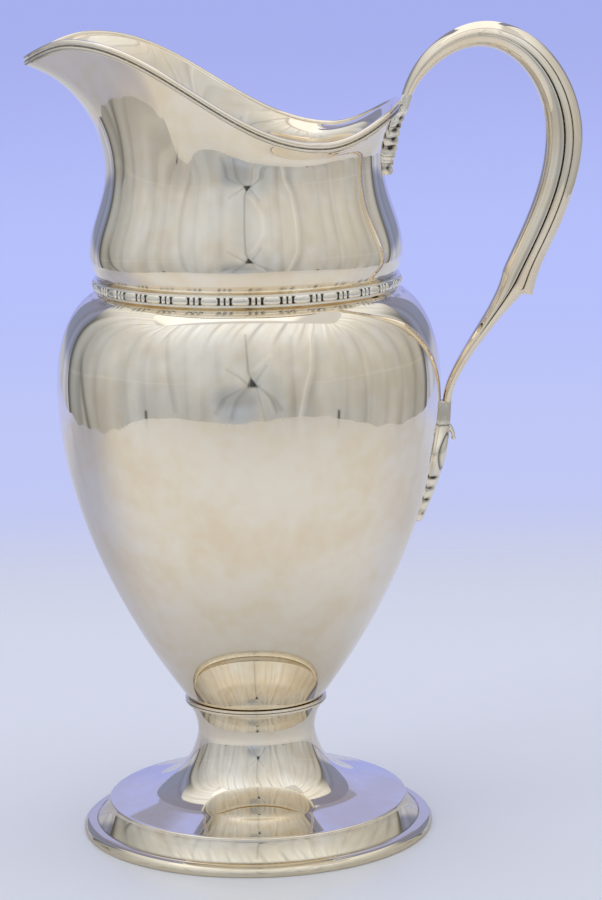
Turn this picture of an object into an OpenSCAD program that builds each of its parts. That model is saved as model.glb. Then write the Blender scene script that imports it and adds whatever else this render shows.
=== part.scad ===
// Silver ewer: an ovoid body on a trumpet pedestal, with a waisted neck, a broad
// spout, a bead-and-reel band over the body joint and a high looped handle.
// The axis of the body is Z, the table is z = 0, the spout points to -X and the handle to +X.

/* [Foot wire] */
// Radius of the foot where it stands on the table
foot_r = 61; // [55:0.5:70]
// Height of the foot wire
foot_wire_h = 3.6; // [3.2:0.1:4.5]
// Width of the foot wire between its inner and outer edges
foot_wire_w = 6.6; // [5.5:0.1:9]
// Height of the upright edge at the bottom of the foot wire
foot_edge_h = 1; // [0.5:0.1:1.5]
// Width of the ledge that carries the edge of the pedestal
foot_ledge_w = 2; // [1:0.1:3]

/* [Pedestal] */
// Radius of the edge of the raised platform
platform_r = 52; // [45:0.5:54]
// Height of the edge of the platform above the table
platform_z = 10; // [8:0.5:14]
// Rounding of the edge of the platform
platform_round = 0.7; // [0.4:0.1:1.2]
// Rise of the platform from its edge to the start of the flare
platform_rise = 3.1; // [1:0.1:5]
// Radius where the flare of the stem runs out into the platform
flare_r = 38; // [34:0.5:43]
// Radius of the waist of the stem
stem_waist_r = 20.3; // [16:0.1:23]
// Height of the waist of the stem above the table
stem_waist_z = 34; // [28:0.5:38]
// Radius of the top of the stem
stem_top_r = 23.6; // [23.2:0.1:25]
// Height of the top of the stem above the table
stem_top_z = 44.6; // [42:0.1:52]
// Wall of the pedestal
pedestal_wall = 1.2; // [0.8:0.1:1.6]

/* [Collar] */
// Outer radius of the collar ring under the bowl
collar_r = 24.6; // [24.2:0.1:28]
// Height of the collar ring
collar_h = 2; // [1.2:0.1:3]

/* [Bowl] */
// Greatest radius of the bowl
belly_r = 65.7; // [60:0.1:72]
// Height from the bottom of the bowl to its greatest radius
belly_h = 109; // [95:1:125]
// Height from the greatest radius to where the shoulder would close
shoulder_h = 34.6; // [30:0.2:42]
// How far inside the lip the middle of the shoulder curve lies
shoulder_in = 5.8; // [4:0.1:8]
// Squareness of the shoulder curve, where 2 is an ellipse
shoulder_square = 2.2; // [2:0.05:2.6]
// Height of the upright lip at the top of the bowl
lip_h = 2; // [1.5:0.1:3]
// Outer radius of that lip and of the bottom of the neck
lip_r = 50.8; // [49:0.1:52]
// Wall of the bowl
bowl_wall = 1.2; // [0.8:0.1:2]
// Thickness of the floor of the bowl
bowl_floor = 1.6; // [1:0.1:3]

/* [Bead band] */
// Height of the band
band_h = 4.2; // [3.6:0.1:4.8]
// Radial thickness of the band at its plain edges
band_t = 1.2; // [0.8:0.1:1.6]
// Height of each plain edge of the band
band_edge_h = 0.6; // [0.4:0.1:0.8]
// How far the beads stand out past the plain edges
bead_out = 0.6; // [0.3:0.1:1]
// Number of beads around the band
bead_count = 32; // [24:1:40]
// Share of each repeat that the long bead takes up
bead_share = 0.57; // [0.45:0.01:0.65]

/* [Neck] */
// Height of the plain bottom of the neck behind the band
neck_plain_h = 2.6; // [2.2:0.1:3.5]
// Height from the plain bottom to the bulge of the neck
neck_tuck_h = 7.3; // [4:0.1:9]
// Radius of the bulge of the neck
neck_bulge_r = 53.2; // [51.5:0.1:55]
// Height from the bulge of the neck to its waist
neck_taper_h = 29; // [24:0.5:36]
// Radius of the waist of the neck
neck_waist_r = 47; // [43:0.1:49]
// Wall of the neck
neck_wall = 1.2; // [0.8:0.1:1.6]

/* [Rim and spout] */
// Distance of the tip of the spout from the axis
spout_reach = 72.5; // [64:0.5:80]
// Distance of the crest of the spout from the axis
spout_crest_x = 54; // [46:0.5:58]
// Distance of the lowest point of the rim from the axis, on the handle side
rim_dip_x = 28; // [20:0.5:34]
// Distance of the back of the rim from the axis
rim_back_x = 52; // [48:0.5:56]
// Half of the width of the mouth
rim_half_w = 50; // [46:0.5:54]
// Distance of the widest part of the mouth from the axis, on the handle side
rim_mid_x = 5; // [0:0.5:10]
// Height of the tip of the spout over the waist of the neck
tip_rise = 38.5; // [32:0.5:42]
// Height of the crest of the spout over the waist of the neck
crest_rise = 45; // [40:0.5:52]
// Height of the lowest point of the rim over the waist of the neck
dip_rise = 11.5; // [9:0.5:16]
// Height of the back of the rim over the waist of the neck
back_rise = 22; // [18:0.5:28]
// Exponent that draws the plan of the spout to a point
spout_point_n = 1.3; // [1:0.05:1.6]
// Exponent that squares the plan of the back of the mouth
back_square_n = 0.75; // [0.65:0.05:1]
// Height of the rim wire
rim_wire_h = 3.3; // [2.6:0.1:4]
// How far the rim wire stands out past the neck
rim_wire_out = 1; // [0.6:0.1:1.4]

/* [Handle] */
// Distance of the top of the handle loop from the axis
loop_top_x = 80.5; // [76:0.5:88]
// Height of the top of the handle loop over the back of the rim
loop_top_rise = 21; // [17:0.5:28]
// Distance of the outermost part of the handle loop from the axis
loop_side_x = 107.6; // [100:0.2:116]
// Drop from the top of the loop to its outermost part
loop_side_drop = 34.5; // [28:0.5:40]
// Distance of the spur from the axis
spur_x = 91.5; // [86:0.5:96]
// Drop from the outermost part of the loop to the spur
spur_drop = 47.5; // [42:0.5:54]
// Thickness of the handle where it leaves the rim
handle_start_t = 3.8; // [3.4:0.1:5]
// Thickness of the handle at the top of the loop
handle_top_t = 8.5; // [7:0.1:10]
// Thickness of the handle at the outermost part of the loop
handle_side_t = 12.7; // [11:0.1:15]
// Thickness of the handle at the spur
handle_spur_t = 10.8; // [9:0.1:13]
// Thickness of the handle at its lower end
handle_end_t = 3.2; // [3:0.1:4.5]
// Width of the handle at its two ends
handle_end_w = 5.6; // [5:0.1:7]
// Width of the handle at the outermost part of the loop
handle_side_w = 11; // [9:0.1:14]
// How far the tip of the spur stands out
spur_out = 2.6; // [1:0.1:3.5]
// Depth of the two grooves along each side of the handle
groove_d = 0.5; // [0.3:0.1:0.6]
// Wall of the two halves of the handle
handle_wall = 1; // [0.8:0.1:1.2]

/* [Leaf terminals] */
// Length of the upper leaf below the rim wire
upper_leaf_l = 22; // [17:0.5:28]
// Half of the width of the upper leaf at its lobes
upper_leaf_w = 6.5; // [5:0.1:8]
// Thickness of the upper leaf at its middle
upper_leaf_t = 4.4; // [3.6:0.1:6]
// Height on the bowl of the bottom of the lower leaf, as a share of the lower curve
lower_leaf_from_share = 0.595; // [0.5:0.005:0.7]
// Height on the bowl of the top of the lower leaf, as a share of the lower curve
lower_leaf_to_share = 0.945; // [0.9:0.005:0.98]
// Half of the width of the lower leaf at its lobes
lower_leaf_w = 8.5; // [6:0.1:10]
// Thickness of the lower leaf at its lobes
lower_leaf_t = 4.3; // [3.8:0.1:6]

/* [Hidden] */
// Room for solder between neighbouring pieces
solder_gap = 0.1;
// Room between a leaf and the curved wall that it lies on
leaf_gap = 0.2;
// Steps along each curved stretch of a turned outline
curve_n = 14;
// Points around the mouth
mouth_n = 56;
// Steps around a small rounding
round_n = 4;
// Smallest rounding on turned edges
small_round = 0.5;
// How far the edge of the pedestal lies below the top of the foot wire
foot_seat_d = 0.2;
$fn = 96;

// Heights and radii where the pieces meet
foot_seat_r = foot_r - foot_wire_w + foot_ledge_w;
foot_seat_z = foot_wire_h - foot_seat_d;
bowl_z = stem_top_z + collar_h + 2 * solder_gap;
belly_z = bowl_z + belly_h;
shoulder_mid_r = lip_r - shoulder_in;
shoulder_w = belly_r - shoulder_mid_r;
shoulder_share = pow(shoulder_in / shoulder_w, shoulder_square);
lip_z = belly_z + shoulder_h * pow(1 - shoulder_share, 1 / shoulder_square);
joint_z = lip_z + lip_h;
band_z = lip_z + solder_gap;
neck_z = joint_z + solder_gap;
neck_tuck_z = neck_z + neck_plain_h;
neck_bulge_z = neck_tuck_z + neck_tuck_h;
neck_waist_z = neck_bulge_z + neck_taper_h;
rim_back_z = neck_waist_z + back_rise;

// Shape of the bowl's lower curve, as shares of its width and height
bowl_lower_r_share = 0.485;
bowl_lower_z_share = 0.25;
bowl_upper_share = 0.635;
// Shape of the flare of the stem: pull and lift at its foot, pull and spread below the waist
flare_foot_share = 0.32;
flare_foot_lift = 3;
flare_waist_share = 0.42;
flare_waist_out = 0.3;
// Exponent of the cove's spread from the platform down to the foot wire
cove_n = 1.5;
// Steps of the stem above its waist, and the exponent of its spread
stem_n = 7;
stem_spread_n = 2.2;
// Shape of the spout in side view: exponent, and the part of the curve that is used
spout_curve_n = 1.9;
spout_curve_share = 0.97;

// Basic functions
function lerp(a, b, u) = a + (b - a) * u;
function unit(v) = v / norm(v);
function reverse(v) = [for (i = [len(v) - 1 : -1 : 0]) v[i]];
function signed_pow(x, e) = sign(x) * pow(abs(x), e);
function bump(x, mid, half) = exp(-pow((x - mid) / half, 2));
function half_wave(u) = (1 + cos(180 * u)) / 2;
function bezier(p, u) = p[0] * pow(1 - u, 3) + p[1] * 3 * u * pow(1 - u, 2)
    + p[2] * 3 * u * u * (1 - u) + p[3] * pow(u, 3);
function bezier_points(p, n) = [for (i = [0 : n]) bezier(p, i / n)];
function arc_points(mid, rad, from, to, n) =
    [for (i = [0 : n]) mid + rad * [cos(lerp(from, to, i / n)), sin(lerp(from, to, i / n))]];

// Second outline of a wall: each point moved by the wall across the local direction
function outline_normal(p, i) =
    let (d = unit(p[min(i + 1, len(p) - 1)] - p[max(i - 1, 0)])) [d[1], -d[0]];
function inset(p, wall) = [for (i = [0 : len(p) - 1]) p[i] - wall * outline_normal(p, i)];

// Outline of the pedestal from the outer edge of its cove up to the top of the stem
cove_outline = [for (i = [0 : curve_n]) let (u = 1 - i / curve_n) [
    lerp(platform_r, foot_seat_r, pow(u, cove_n)), lerp(platform_z, foot_seat_z, u)
]];
platform_from_angle = 15;
platform_outline = arc_points(
    [platform_r - platform_round, platform_z], platform_round, platform_from_angle, 90, round_n
);
flare_start = [flare_r, platform_z + platform_round + platform_rise];
flare_outline = bezier_points([
    flare_start,
    [lerp(stem_waist_r, flare_r, flare_foot_share), flare_start[1] + flare_foot_lift],
    [stem_waist_r + flare_waist_out, lerp(flare_start[1], stem_waist_z, flare_waist_share)],
    [stem_waist_r, stem_waist_z]
], curve_n);
stem_outline = [for (i = [1 : stem_n]) [
    lerp(stem_waist_r, stem_top_r, pow(i / stem_n, stem_spread_n)),
    lerp(stem_waist_z, stem_top_z, i / stem_n)
]];
pedestal_outline = concat(cove_outline, platform_outline, flare_outline, stem_outline);

// Outline of the bowl from its bottom edge up to the start of its lip
bowl_curve = [
    [stem_top_r, bowl_z],
    [lerp(stem_top_r, belly_r, bowl_lower_r_share), bowl_z + bowl_lower_z_share * belly_h],
    [belly_r, bowl_z + bowl_upper_share * belly_h],
    [belly_r, belly_z]
];
shoulder_end_u = acos(sqrt(shoulder_share)) / 90;
function shoulder_point(u) = [
    shoulder_mid_r + shoulder_w * pow(cos(90 * u), 2 / shoulder_square),
    belly_z + shoulder_h * pow(sin(90 * u), 2 / shoulder_square)
];
shoulder_outline = [for (i = [1 : curve_n]) shoulder_point(shoulder_end_u * i / curve_n)];
bowl_outline = concat(bezier_points(bowl_curve, 2 * curve_n), shoulder_outline);

// Plan of the mouth at angle t, where t = 0 is the handle and t = 180 the spout
function mouth_x(t) =
    rim_mid_x + cos(t) * (cos(t) > 0 ? rim_back_x - rim_mid_x : spout_reach + rim_mid_x);
function mouth_y(t) = rim_half_w * signed_pow(sin(t), cos(t) > 0 ? back_square_n : spout_point_n);
function mouth_normal(t) = let (
    d = 0.5,
    along = [mouth_x(t + d) - mouth_x(t - d), mouth_y(t + d) - mouth_y(t - d)]
) unit([along[1], -along[0], 0]);

// Height of the rim over the waist: it falls from the crest to the tip of the spout,
// swings down to the dip in half a cosine wave and climbs again to the back
function rim_rise(x) =
    x < -spout_crest_x
        ? lerp(tip_rise, crest_rise, cos(90 * (-spout_crest_x - x) / (spout_reach - spout_crest_x)))
    : x < rim_dip_x
        ? lerp(dip_rise, crest_rise, half_wave((x + spout_crest_x) / (rim_dip_x + spout_crest_x)))
    : lerp(back_rise, dip_rise, cos(90 * (x - rim_dip_x) / (rim_back_x - rim_dip_x)));
function rim_z(t) = neck_waist_z + rim_rise(mouth_x(t));
function neck_top_z(t) = rim_z(t) - rim_wire_h - solder_gap;

// Outside of the neck: turned up to the waist for k = 0 to 1, drawn out to the mouth for k = 1 to 2
function neck_r(z) =
    z < neck_tuck_z ? lip_r
    : z < neck_bulge_z ? lerp(lip_r, neck_bulge_r, cos(90 * (neck_bulge_z - z) / neck_tuck_h))
    : lerp(neck_waist_r, neck_bulge_r, half_wave((z - neck_bulge_z) / neck_taper_h));
function spout_flare_raw(v) =
    1 - pow(1 - pow(spout_curve_share * v, spout_curve_n), 1 / spout_curve_n);
function neck_flare(v, t) =
    lerp(v * v, spout_flare_raw(v) / spout_flare_raw(1), pow(half_wave(1 - t / 180), 2));
function neck_upper(t, v) = let (f = neck_flare(v, t)) [
    lerp(neck_waist_r * cos(t), mouth_x(t), f),
    lerp(neck_waist_r * sin(t), mouth_y(t), f),
    lerp(neck_waist_z, neck_top_z(t), v)
];
function neck_lower(t, k) = let (z = lerp(neck_z, neck_waist_z, k), r = neck_r(z))
    [r * cos(t), r * sin(t), z];
function neck_point(t, k) = k <= 1 ? neck_lower(t, k) : neck_upper(t, k - 1);
function neck_normal(t, k) = let (
    dt = 0.5,
    dk = 0.01,
    around = neck_point(t + dt, k) - neck_point(t - dt, k),
    upward = neck_point(t, min(k + dk, 2)) - neck_point(t, max(k - dk, 0))
) unit(cross(around, upward));
function neck_k_of_z(z) = (z - neck_z) / (neck_waist_z - neck_z);

// Angle on the neck at which its half width is y, found by halving
function neck_angle(y, k, lo = 0, hi = 45, n = 18) = let (mid = (lo + hi) / 2)
    n == 0 ? mid
    : neck_point(mid, k)[1] < y ? neck_angle(y, k, mid, hi, n - 1)
    : neck_angle(y, k, lo, mid, n - 1);

// Ends of the handle, on the leaf terminals
upper_boss_rise = 1.2;
upper_boss_z = rim_back_z + upper_boss_rise;
upper_boss_x = rim_back_x + rim_wire_out + leaf_gap;
handle_start = [upper_boss_x + handle_start_t / 2, upper_boss_z + solder_gap];
lower_boss = bezier(bowl_curve, lower_leaf_to_share);
lower_boss_less = 0.5;
lower_boss_t = lower_leaf_t - lower_boss_less;
handle_end = [lower_boss[0] + lower_boss_t - handle_end_t / 2, lower_boss[1] + solder_gap];

// Centre line of the handle: four curves from the rim over the top, the side and the spur
loop_top = [loop_top_x, rim_back_z + loop_top_rise];
loop_side = [loop_side_x, loop_top[1] - loop_side_drop];
spur_mid = [spur_x, loop_side[1] - spur_drop];
start_lead_x = 3.7;
start_lead_z = 10.3;
top_lead_in_x = 11;
top_lead_out_x = 14.5;
side_lead_in_z = 19;
side_lead_out_z = 17;
spur_lead_x = 6.5;
spur_lead_z = 13.5;
spur_lead_out_share = 0.8;
end_lead_x = 0.5;
end_lead_z = 12;
start_lead = [start_lead_x, start_lead_z];
spur_lead = [spur_lead_x, spur_lead_z];
end_lead = [end_lead_x, end_lead_z];
handle_curves = [
    [handle_start, handle_start + start_lead, loop_top - [top_lead_in_x, 0], loop_top],
    [loop_top, loop_top + [top_lead_out_x, 0], loop_side + [0, side_lead_in_z], loop_side],
    [loop_side, loop_side - [0, side_lead_out_z], spur_mid + spur_lead, spur_mid],
    [spur_mid, spur_mid - spur_lead_out_share * spur_lead, handle_end + end_lead, handle_end]
];
handle_last = len(handle_curves);
function handle_mid(u) = let (i = min(floor(u), handle_last - 1)) bezier(handle_curves[i], u - i);
// Direction across the handle, turned level at its two ends
level_share = 0.25;
function handle_across(u) = let (
    d = 0.01,
    along = unit(handle_mid(min(u + d, handle_last)) - handle_mid(max(u - d, 0))),
    first = bump(u, 0, level_share),
    last = bump(u, handle_last, level_share)
) unit([-along[1], along[0]] * (1 - first) * (1 - last) + [last - first, 0]);
function handle_t(u) =
    u < 1 ? lerp(handle_start_t, handle_top_t, u)
    : u < 2 ? lerp(handle_top_t, handle_side_t, u - 1)
    : u < 3 ? lerp(handle_side_t, handle_spur_t, u - 2)
    : lerp(handle_end_t, handle_spur_t, pow(handle_last - u, 2));
function handle_w(u) = lerp(handle_end_w, handle_side_w, sin(180 * u / handle_last));
// Place of the spur past the third curve, with the run of its swelling and of the drop behind it
spur_past_share = 0.12;
spur_u = handle_last - 1 + spur_past_share;
spur_swell_share = 0.25;
spur_drop_share = 0.07;
function spur_extra(u) = u < spur_u
    ? spur_out * pow(max(0, 1 - (spur_u - u) / spur_swell_share), 2)
    : spur_out * max(0, 1 - (u - spur_u) / spur_drop_share);

// Places along the handle that get a section, close together around the spur
spur_near_share = 0.28;
handle_stations = concat(
    [for (i = [0 : 7]) i / 8],
    [for (i = [0 : 8]) 1 + i / 9],
    [for (i = [0 : 6]) 2 + i / 8],
    [for (i = [5 : -1 : 1]) spur_u - spur_near_share * pow(i / 5, 1.5)],
    [for (i = [0 : 1]) spur_u + spur_drop_share * i / 2],
    [for (i = [0 : 7]) lerp(spur_u + spur_drop_share, handle_last, pow(i / 7, 1.2))]
);
// Angles around half of the section, from its outer to its inner edge, and those of the two grooves
outer_groove_angle = 63;
inner_groove_angle = 90;
groove_half_angle = 6;
section_angles = concat(
    [for (i = [0 : 2]) (outer_groove_angle - groove_half_angle) * i / 3],
    [for (i = [-1 : 1]) outer_groove_angle + groove_half_angle * i],
    [(outer_groove_angle + inner_groove_angle) / 2],
    [for (i = [-1 : 1]) inner_groove_angle + groove_half_angle * i],
    [for (i = [1 : 5]) lerp(inner_groove_angle + groove_half_angle, 180, i / 5)]
);
function groove_at(a, u) =
    a == inner_groove_angle || (a == outer_groove_angle && u < spur_u) ? groove_d : 0;
function handle_spot(u, a, wall) = let (
    outward = cos(a) > 0 ? spur_extra(u) : 0,
    s = (handle_t(u) / 2 + outward - wall) * cos(a),
    y = (handle_w(u) / 2 - wall) * sin(a) - (wall > 0 ? 0 : groove_at(a, u)),
    p = handle_mid(u) + s * handle_across(u)
) [p[0], -(y + solder_gap / 2), p[1]];

// Solid between two grids of points, with the outer grid seen from outside as rows going up
module thick_sheet(outer, inner, wrap = false) {
    m = len(outer) - 1;
    n = len(outer[0]);
    cols = wrap ? n : n - 1;
    half = (m + 1) * n;
    spots = [for (g = [outer, inner], row = g, p = row) p];
    function o(i, j) = i * n + j % n;
    function q(i, j) = half + o(i, j);
    function two(a, b, c, d) = [[a, b, c], [a, c, d]];
    sides = [for (i = [0 : m - 1], j = [0 : cols - 1], f = concat(
        two(o(i, j), o(i + 1, j), o(i + 1, j + 1), o(i, j + 1)),
        two(q(i, j), q(i, j + 1), q(i + 1, j + 1), q(i + 1, j))
    )) f];
    ends = [for (j = [0 : cols - 1], f = concat(
        two(o(0, j), o(0, j + 1), q(0, j + 1), q(0, j)),
        two(o(m, j + 1), o(m, j), q(m, j), q(m, j + 1))
    )) f];
    edges = wrap ? [] : [for (i = [0 : m - 1], f = concat(
        two(o(i + 1, 0), o(i, 0), q(i, 0), q(i + 1, 0)),
        two(o(i, n - 1), o(i + 1, n - 1), q(i + 1, n - 1), q(i, n - 1))
    )) f];
    polyhedron(points = spots, faces = concat(sides, ends, edges), convexity = 10);
}

// Closed ring of equal closed sections
module loop_sweep(rings) {
    m = len(rings);
    n = len(rings[0]);
    function o(k, l) = (k % m) * n + l % n;
    polyhedron(
        points = [for (ring = rings, p = ring) p],
        faces = [for (k = [0 : m - 1], l = [0 : n - 1], f = [
            [o(k, l), o(k, l + 1), o(k + 1, l + 1)],
            [o(k, l), o(k + 1, l + 1), o(k + 1, l)]
        ]) f],
        convexity = 10
    );
}

// Rounded moulding that the ewer stands on, with a ledge for the pedestal
module foot_wire() {
    inner_r = foot_r - foot_wire_w;
    top_r = foot_seat_r + solder_gap;
    ledge_z = foot_seat_z - pedestal_wall - solder_gap;
    color("silver")
    rotate_extrude()
    polygon(concat(
        [[inner_r, 0], [foot_r - small_round, 0]],
        [for (i = [0 : curve_n]) let (a = 90 * i / curve_n) [
            lerp(top_r, foot_r, cos(a)), lerp(foot_edge_h, foot_wire_h, sin(a))
        ]],
        [[top_r, ledge_z], [inner_r, ledge_z]]
    ));
}

// Spun pedestal: cove, raised platform, flared stem, open underneath
module pedestal() {
    inner = inset(pedestal_outline, pedestal_wall);
    last = len(inner) - 1;
    top_inner = [stem_top_r - pedestal_wall, stem_top_z];
    color("gainsboro")
    rotate_extrude()
    polygon(concat(
        pedestal_outline,
        [top_inner],
        reverse([for (i = [0 : last - 1]) inner[i]])
    ));
}

// Ring of two fine reeds that hides the joint of stem and bowl
module collar_ring() {
    z = stem_top_z + solder_gap;
    reed = collar_h / 4;
    inner_r = stem_top_r - pedestal_wall - small_round;
    color("silver")
    rotate_extrude()
    polygon(concat(
        [[inner_r, z]],
        arc_points([collar_r - reed, z + reed], reed, -90, 90, 2 * round_n),
        arc_points([collar_r - reed, z + 3 * reed], reed, -80, 90, 2 * round_n),
        [[inner_r, z + collar_h]]
    ));
}

// Raised ovoid bowl with an upright lip at its top
module bowl() {
    floor_z = bowl_z + bowl_floor;
    inner_r = lip_r - bowl_wall;
    inner = [for (p = inset(bowl_outline, bowl_wall)) if (p[1] > floor_z + small_round && p[0] > 0) p];
    lip_foot = [inner_r, inner[len(inner) - 1][1]];
    color("gainsboro")
    rotate_extrude()
    polygon(concat(
        [[0, bowl_z]],
        bowl_outline,
        [[lip_r, joint_z], [inner_r, joint_z], lip_foot],
        reverse(inner),
        [[inner[0][0] - small_round, floor_z], [0, floor_z]]
    ));
}

// Rolled strip over the joint of bowl and neck: long beads and pairs of reels between plain edges
module bead_band() {
    inner_r = lip_r + solder_gap;
    edge_r = inner_r + band_t;
    bed_r = edge_r - band_t / 3;
    bead_r = band_h / 2 - band_edge_h;
    bead_mid_r = edge_r + bead_out - bead_r;
    pitch = 360 / bead_count;
    bead_a = pitch * bead_share;
    reel_a = (pitch - bead_a) / 5;
    bead_z = band_h / 2;
    color("silver")
    translate([0, 0, band_z]) {
        rotate_extrude()
        polygon([
            [inner_r, 0], [edge_r, 0],
            [edge_r, band_edge_h], [bed_r, band_edge_h],
            [bed_r, band_h - band_edge_h], [edge_r, band_h - band_edge_h],
            [edge_r, band_h], [inner_r, band_h]
        ]);
        for (i = [0 : bead_count - 1])
        rotate([0, 0, i * pitch]) {
            rotate([0, 0, -bead_a / 2])
            rotate_extrude(angle = bead_a)
            bead_section(bead_mid_r, bead_z, bead_r, inner_r + band_t / 3);
            for (side = [-1, 1])
            rotate([0, 0, pitch / 2 + side * reel_a - reel_a / 2])
            rotate_extrude(angle = reel_a)
            bead_section(bead_mid_r - bead_out / 3, bead_z, bead_r, inner_r + band_t / 3);
        }
    }
}

// Half-round section that grows out of the bed of the band
module bead_section(mid_r, mid_z, rad, root_r) {
    polygon(concat(
        [[root_r, mid_z - rad]],
        arc_points([mid_r, mid_z], rad, -90, 90, 2 * round_n),
        [[root_r, mid_z + rad]]
    ));
}

// Raised neck, drawn out into the spout on one side
module neck() {
    tuck_k = neck_k_of_z(neck_tuck_z);
    bulge_k = neck_k_of_z(neck_bulge_z);
    rows = concat(
        [0],
        [for (i = [0 : 2]) lerp(tuck_k, bulge_k, i / 3)],
        [for (i = [0 : 5]) lerp(bulge_k, 1, i / 6)],
        [for (i = [0 : 8]) 1 + sin(90 * i / 8)]
    );
    angles = [for (j = [0 : mouth_n - 1]) 360 * j / mouth_n];
    outer = [for (k = rows) [for (t = angles) neck_point(t, k)]];
    inner = [for (k = rows) [for (t = angles)
        neck_point(t, k) - neck_wall * (k == 2 ? mouth_normal(t) : neck_normal(t, k))]];
    color("gainsboro")
    thick_sheet(outer, inner, wrap = true);
}

// Reeded wire around the mouth: a round bead above a thin one
module rim_wire() {
    bead = (rim_wire_out + neck_wall) / 2;
    mid = rim_wire_out - bead;
    reed = (rim_wire_h - 2 * bead) / 2;
    groove_from_angle = -30;
    section = concat(
        [[-neck_wall, -rim_wire_h]],
        [[rim_wire_out - reed, -rim_wire_h], [rim_wire_out, reed - rim_wire_h]],
        [[rim_wire_out - reed, 2 * reed - rim_wire_h]],
        arc_points([mid, -bead], bead, groove_from_angle, 180, 6),
        [[-neck_wall, -bead]]
    );
    color("silver")
    loop_sweep([for (j = [0 : mouth_n - 1]) let (t = 360 * j / mouth_n, n = mouth_normal(t)) [
        for (s = section) [mouth_x(t), mouth_y(t), rim_z(t)] + s[0] * n + [0, 0, s[1]]
    ]]);
}

// One half of the hollow handle, soldered to the other along the middle plane
module handle_half() {
    outer = [for (u = handle_stations) [for (a = section_angles) handle_spot(u, a, 0)]];
    inner = [for (u = handle_stations) [for (a = section_angles) handle_spot(u, a, handle_wall)]];
    thick_sheet(outer, inner);
}

module handle_near_half() {
    color("gainsboro")
    handle_half();
}

module handle_far_half() {
    color("gainsboro")
    mirror([0, 1, 0])
    handle_half();
}

// Section of a leaf at u from -1 to 1: a thin edge that swells to the full thickness
leaf_edge = 0.8;
leaf_crown_n = 0.6;
leaf_across = [for (j = [-4 : 4]) j / 4];
function leaf_swell(u, full) = lerp(leaf_edge, full, pow(1 - u * u, leaf_crown_n));

// Cast leaf under the upper end of the handle, shaped to the back of the neck
module upper_leaf() {
    tip_w = 3;
    lobe_share = 0.62;
    lobe_run_share = 0.28;
    tip_in = 1;
    tip_run_share = 0.1;
    tip_thin = 1.2;
    top_thin = 0.9;
    boss_crown = 0.6;
    boss_slope_share = 0.35;
    row_n = 12;
    top_z = neck_top_z(0);
    leaf_top_z = top_z - leaf_edge;
    boss_z = top_z - 3 * solder_gap;
    function leaf_k(z) = z < neck_waist_z
        ? neck_k_of_z(z)
        : 1 + (z - neck_waist_z) / (top_z - neck_waist_z);
    function half_w(s) = tip_w - tip_in * bump(s, 0, tip_run_share)
        + (upper_leaf_w - tip_w) * bump(s, lobe_share, lobe_run_share);
    function thick(s) = upper_leaf_t - tip_thin * bump(s, 0, tip_run_share) - top_thin * s;
    function spot(s, u, on) = let (
        k = leaf_k(lerp(top_z - upper_leaf_l, leaf_top_z, s)),
        y = half_w(s) * u,
        t = sign(y) * neck_angle(abs(y), k)
    ) neck_point(t, k) + (leaf_gap + on * leaf_swell(u, thick(s))) * mouth_normal(0);
    function boss(s, u, on) = let (
        z = lerp(boss_z, upper_boss_z, s),
        t = handle_start_t - boss_slope_share * (upper_boss_z - z) - boss_crown * u * u
    ) [upper_boss_x + on * t, handle_end_w / 2 * u, z];
    function grid(on) = concat(
        [for (i = [0 : row_n]) [for (u = leaf_across) spot(i / row_n, u, on)]],
        [for (i = [0 : 2]) [for (u = leaf_across) boss(i / 2, u, on)]]
    );
    color("lightgray")
    thick_sheet(grid(1), grid(0));
}

// Cast leaf that carries the lower end of the handle on the bowl
module lower_leaf() {
    stem_w = handle_end_w / 2;
    lobe_share = 0.6;
    lobe_run_share = 0.16;
    tip_in = 1;
    tip_run_share = 0.1;
    tip_share = 0.55;
    climb_share = 0.35;
    boss_run_share = 0.2;
    row_n = 18;
    function half_w(s) = stem_w - tip_in * bump(s, 0, tip_run_share)
        + (lower_leaf_w - stem_w) * bump(s, lobe_share, lobe_run_share);
    function thick(s) = lower_leaf_t * lerp(tip_share, 1, min(1, s / climb_share))
        - lower_boss_less * bump(s, 1, boss_run_share);
    function spot(s, u, on) = let (
        p = bezier(bowl_curve, lerp(lower_leaf_from_share, lower_leaf_to_share, s)),
        t = asin(half_w(s) * u / p[0]),
        r = p[0] + leaf_gap + on * leaf_swell(u, thick(s))
    ) [r * cos(t), r * sin(t), p[1]];
    function grid(on) = [for (i = [0 : row_n]) [for (u = leaf_across) spot(i / row_n, u, on)]];
    color("lightgray")
    thick_sheet(grid(1), grid(0));
}

foot_wire();
pedestal();
collar_ring();
bowl();
bead_band();
neck();
rim_wire();
handle_near_half();
handle_far_half();
upper_leaf();
lower_leaf();
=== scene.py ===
"""Looks of a silver ewer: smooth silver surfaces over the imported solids, in a draped studio.

The frame is that of the part: +Z up, the table at z = 0, the handle at +X and the spout at -X.
Sizes inside the classes are millimetres, and every mesh is written in metres. GAP is the clearance of
a soldered joint in millimetres, and WELD the distance in metres under which two points are one.
"""

import logging
import math
from dataclasses import dataclass
from enum import Enum

import bmesh
import bpy
import numpy as np
from mathutils import Matrix, Vector


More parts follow.
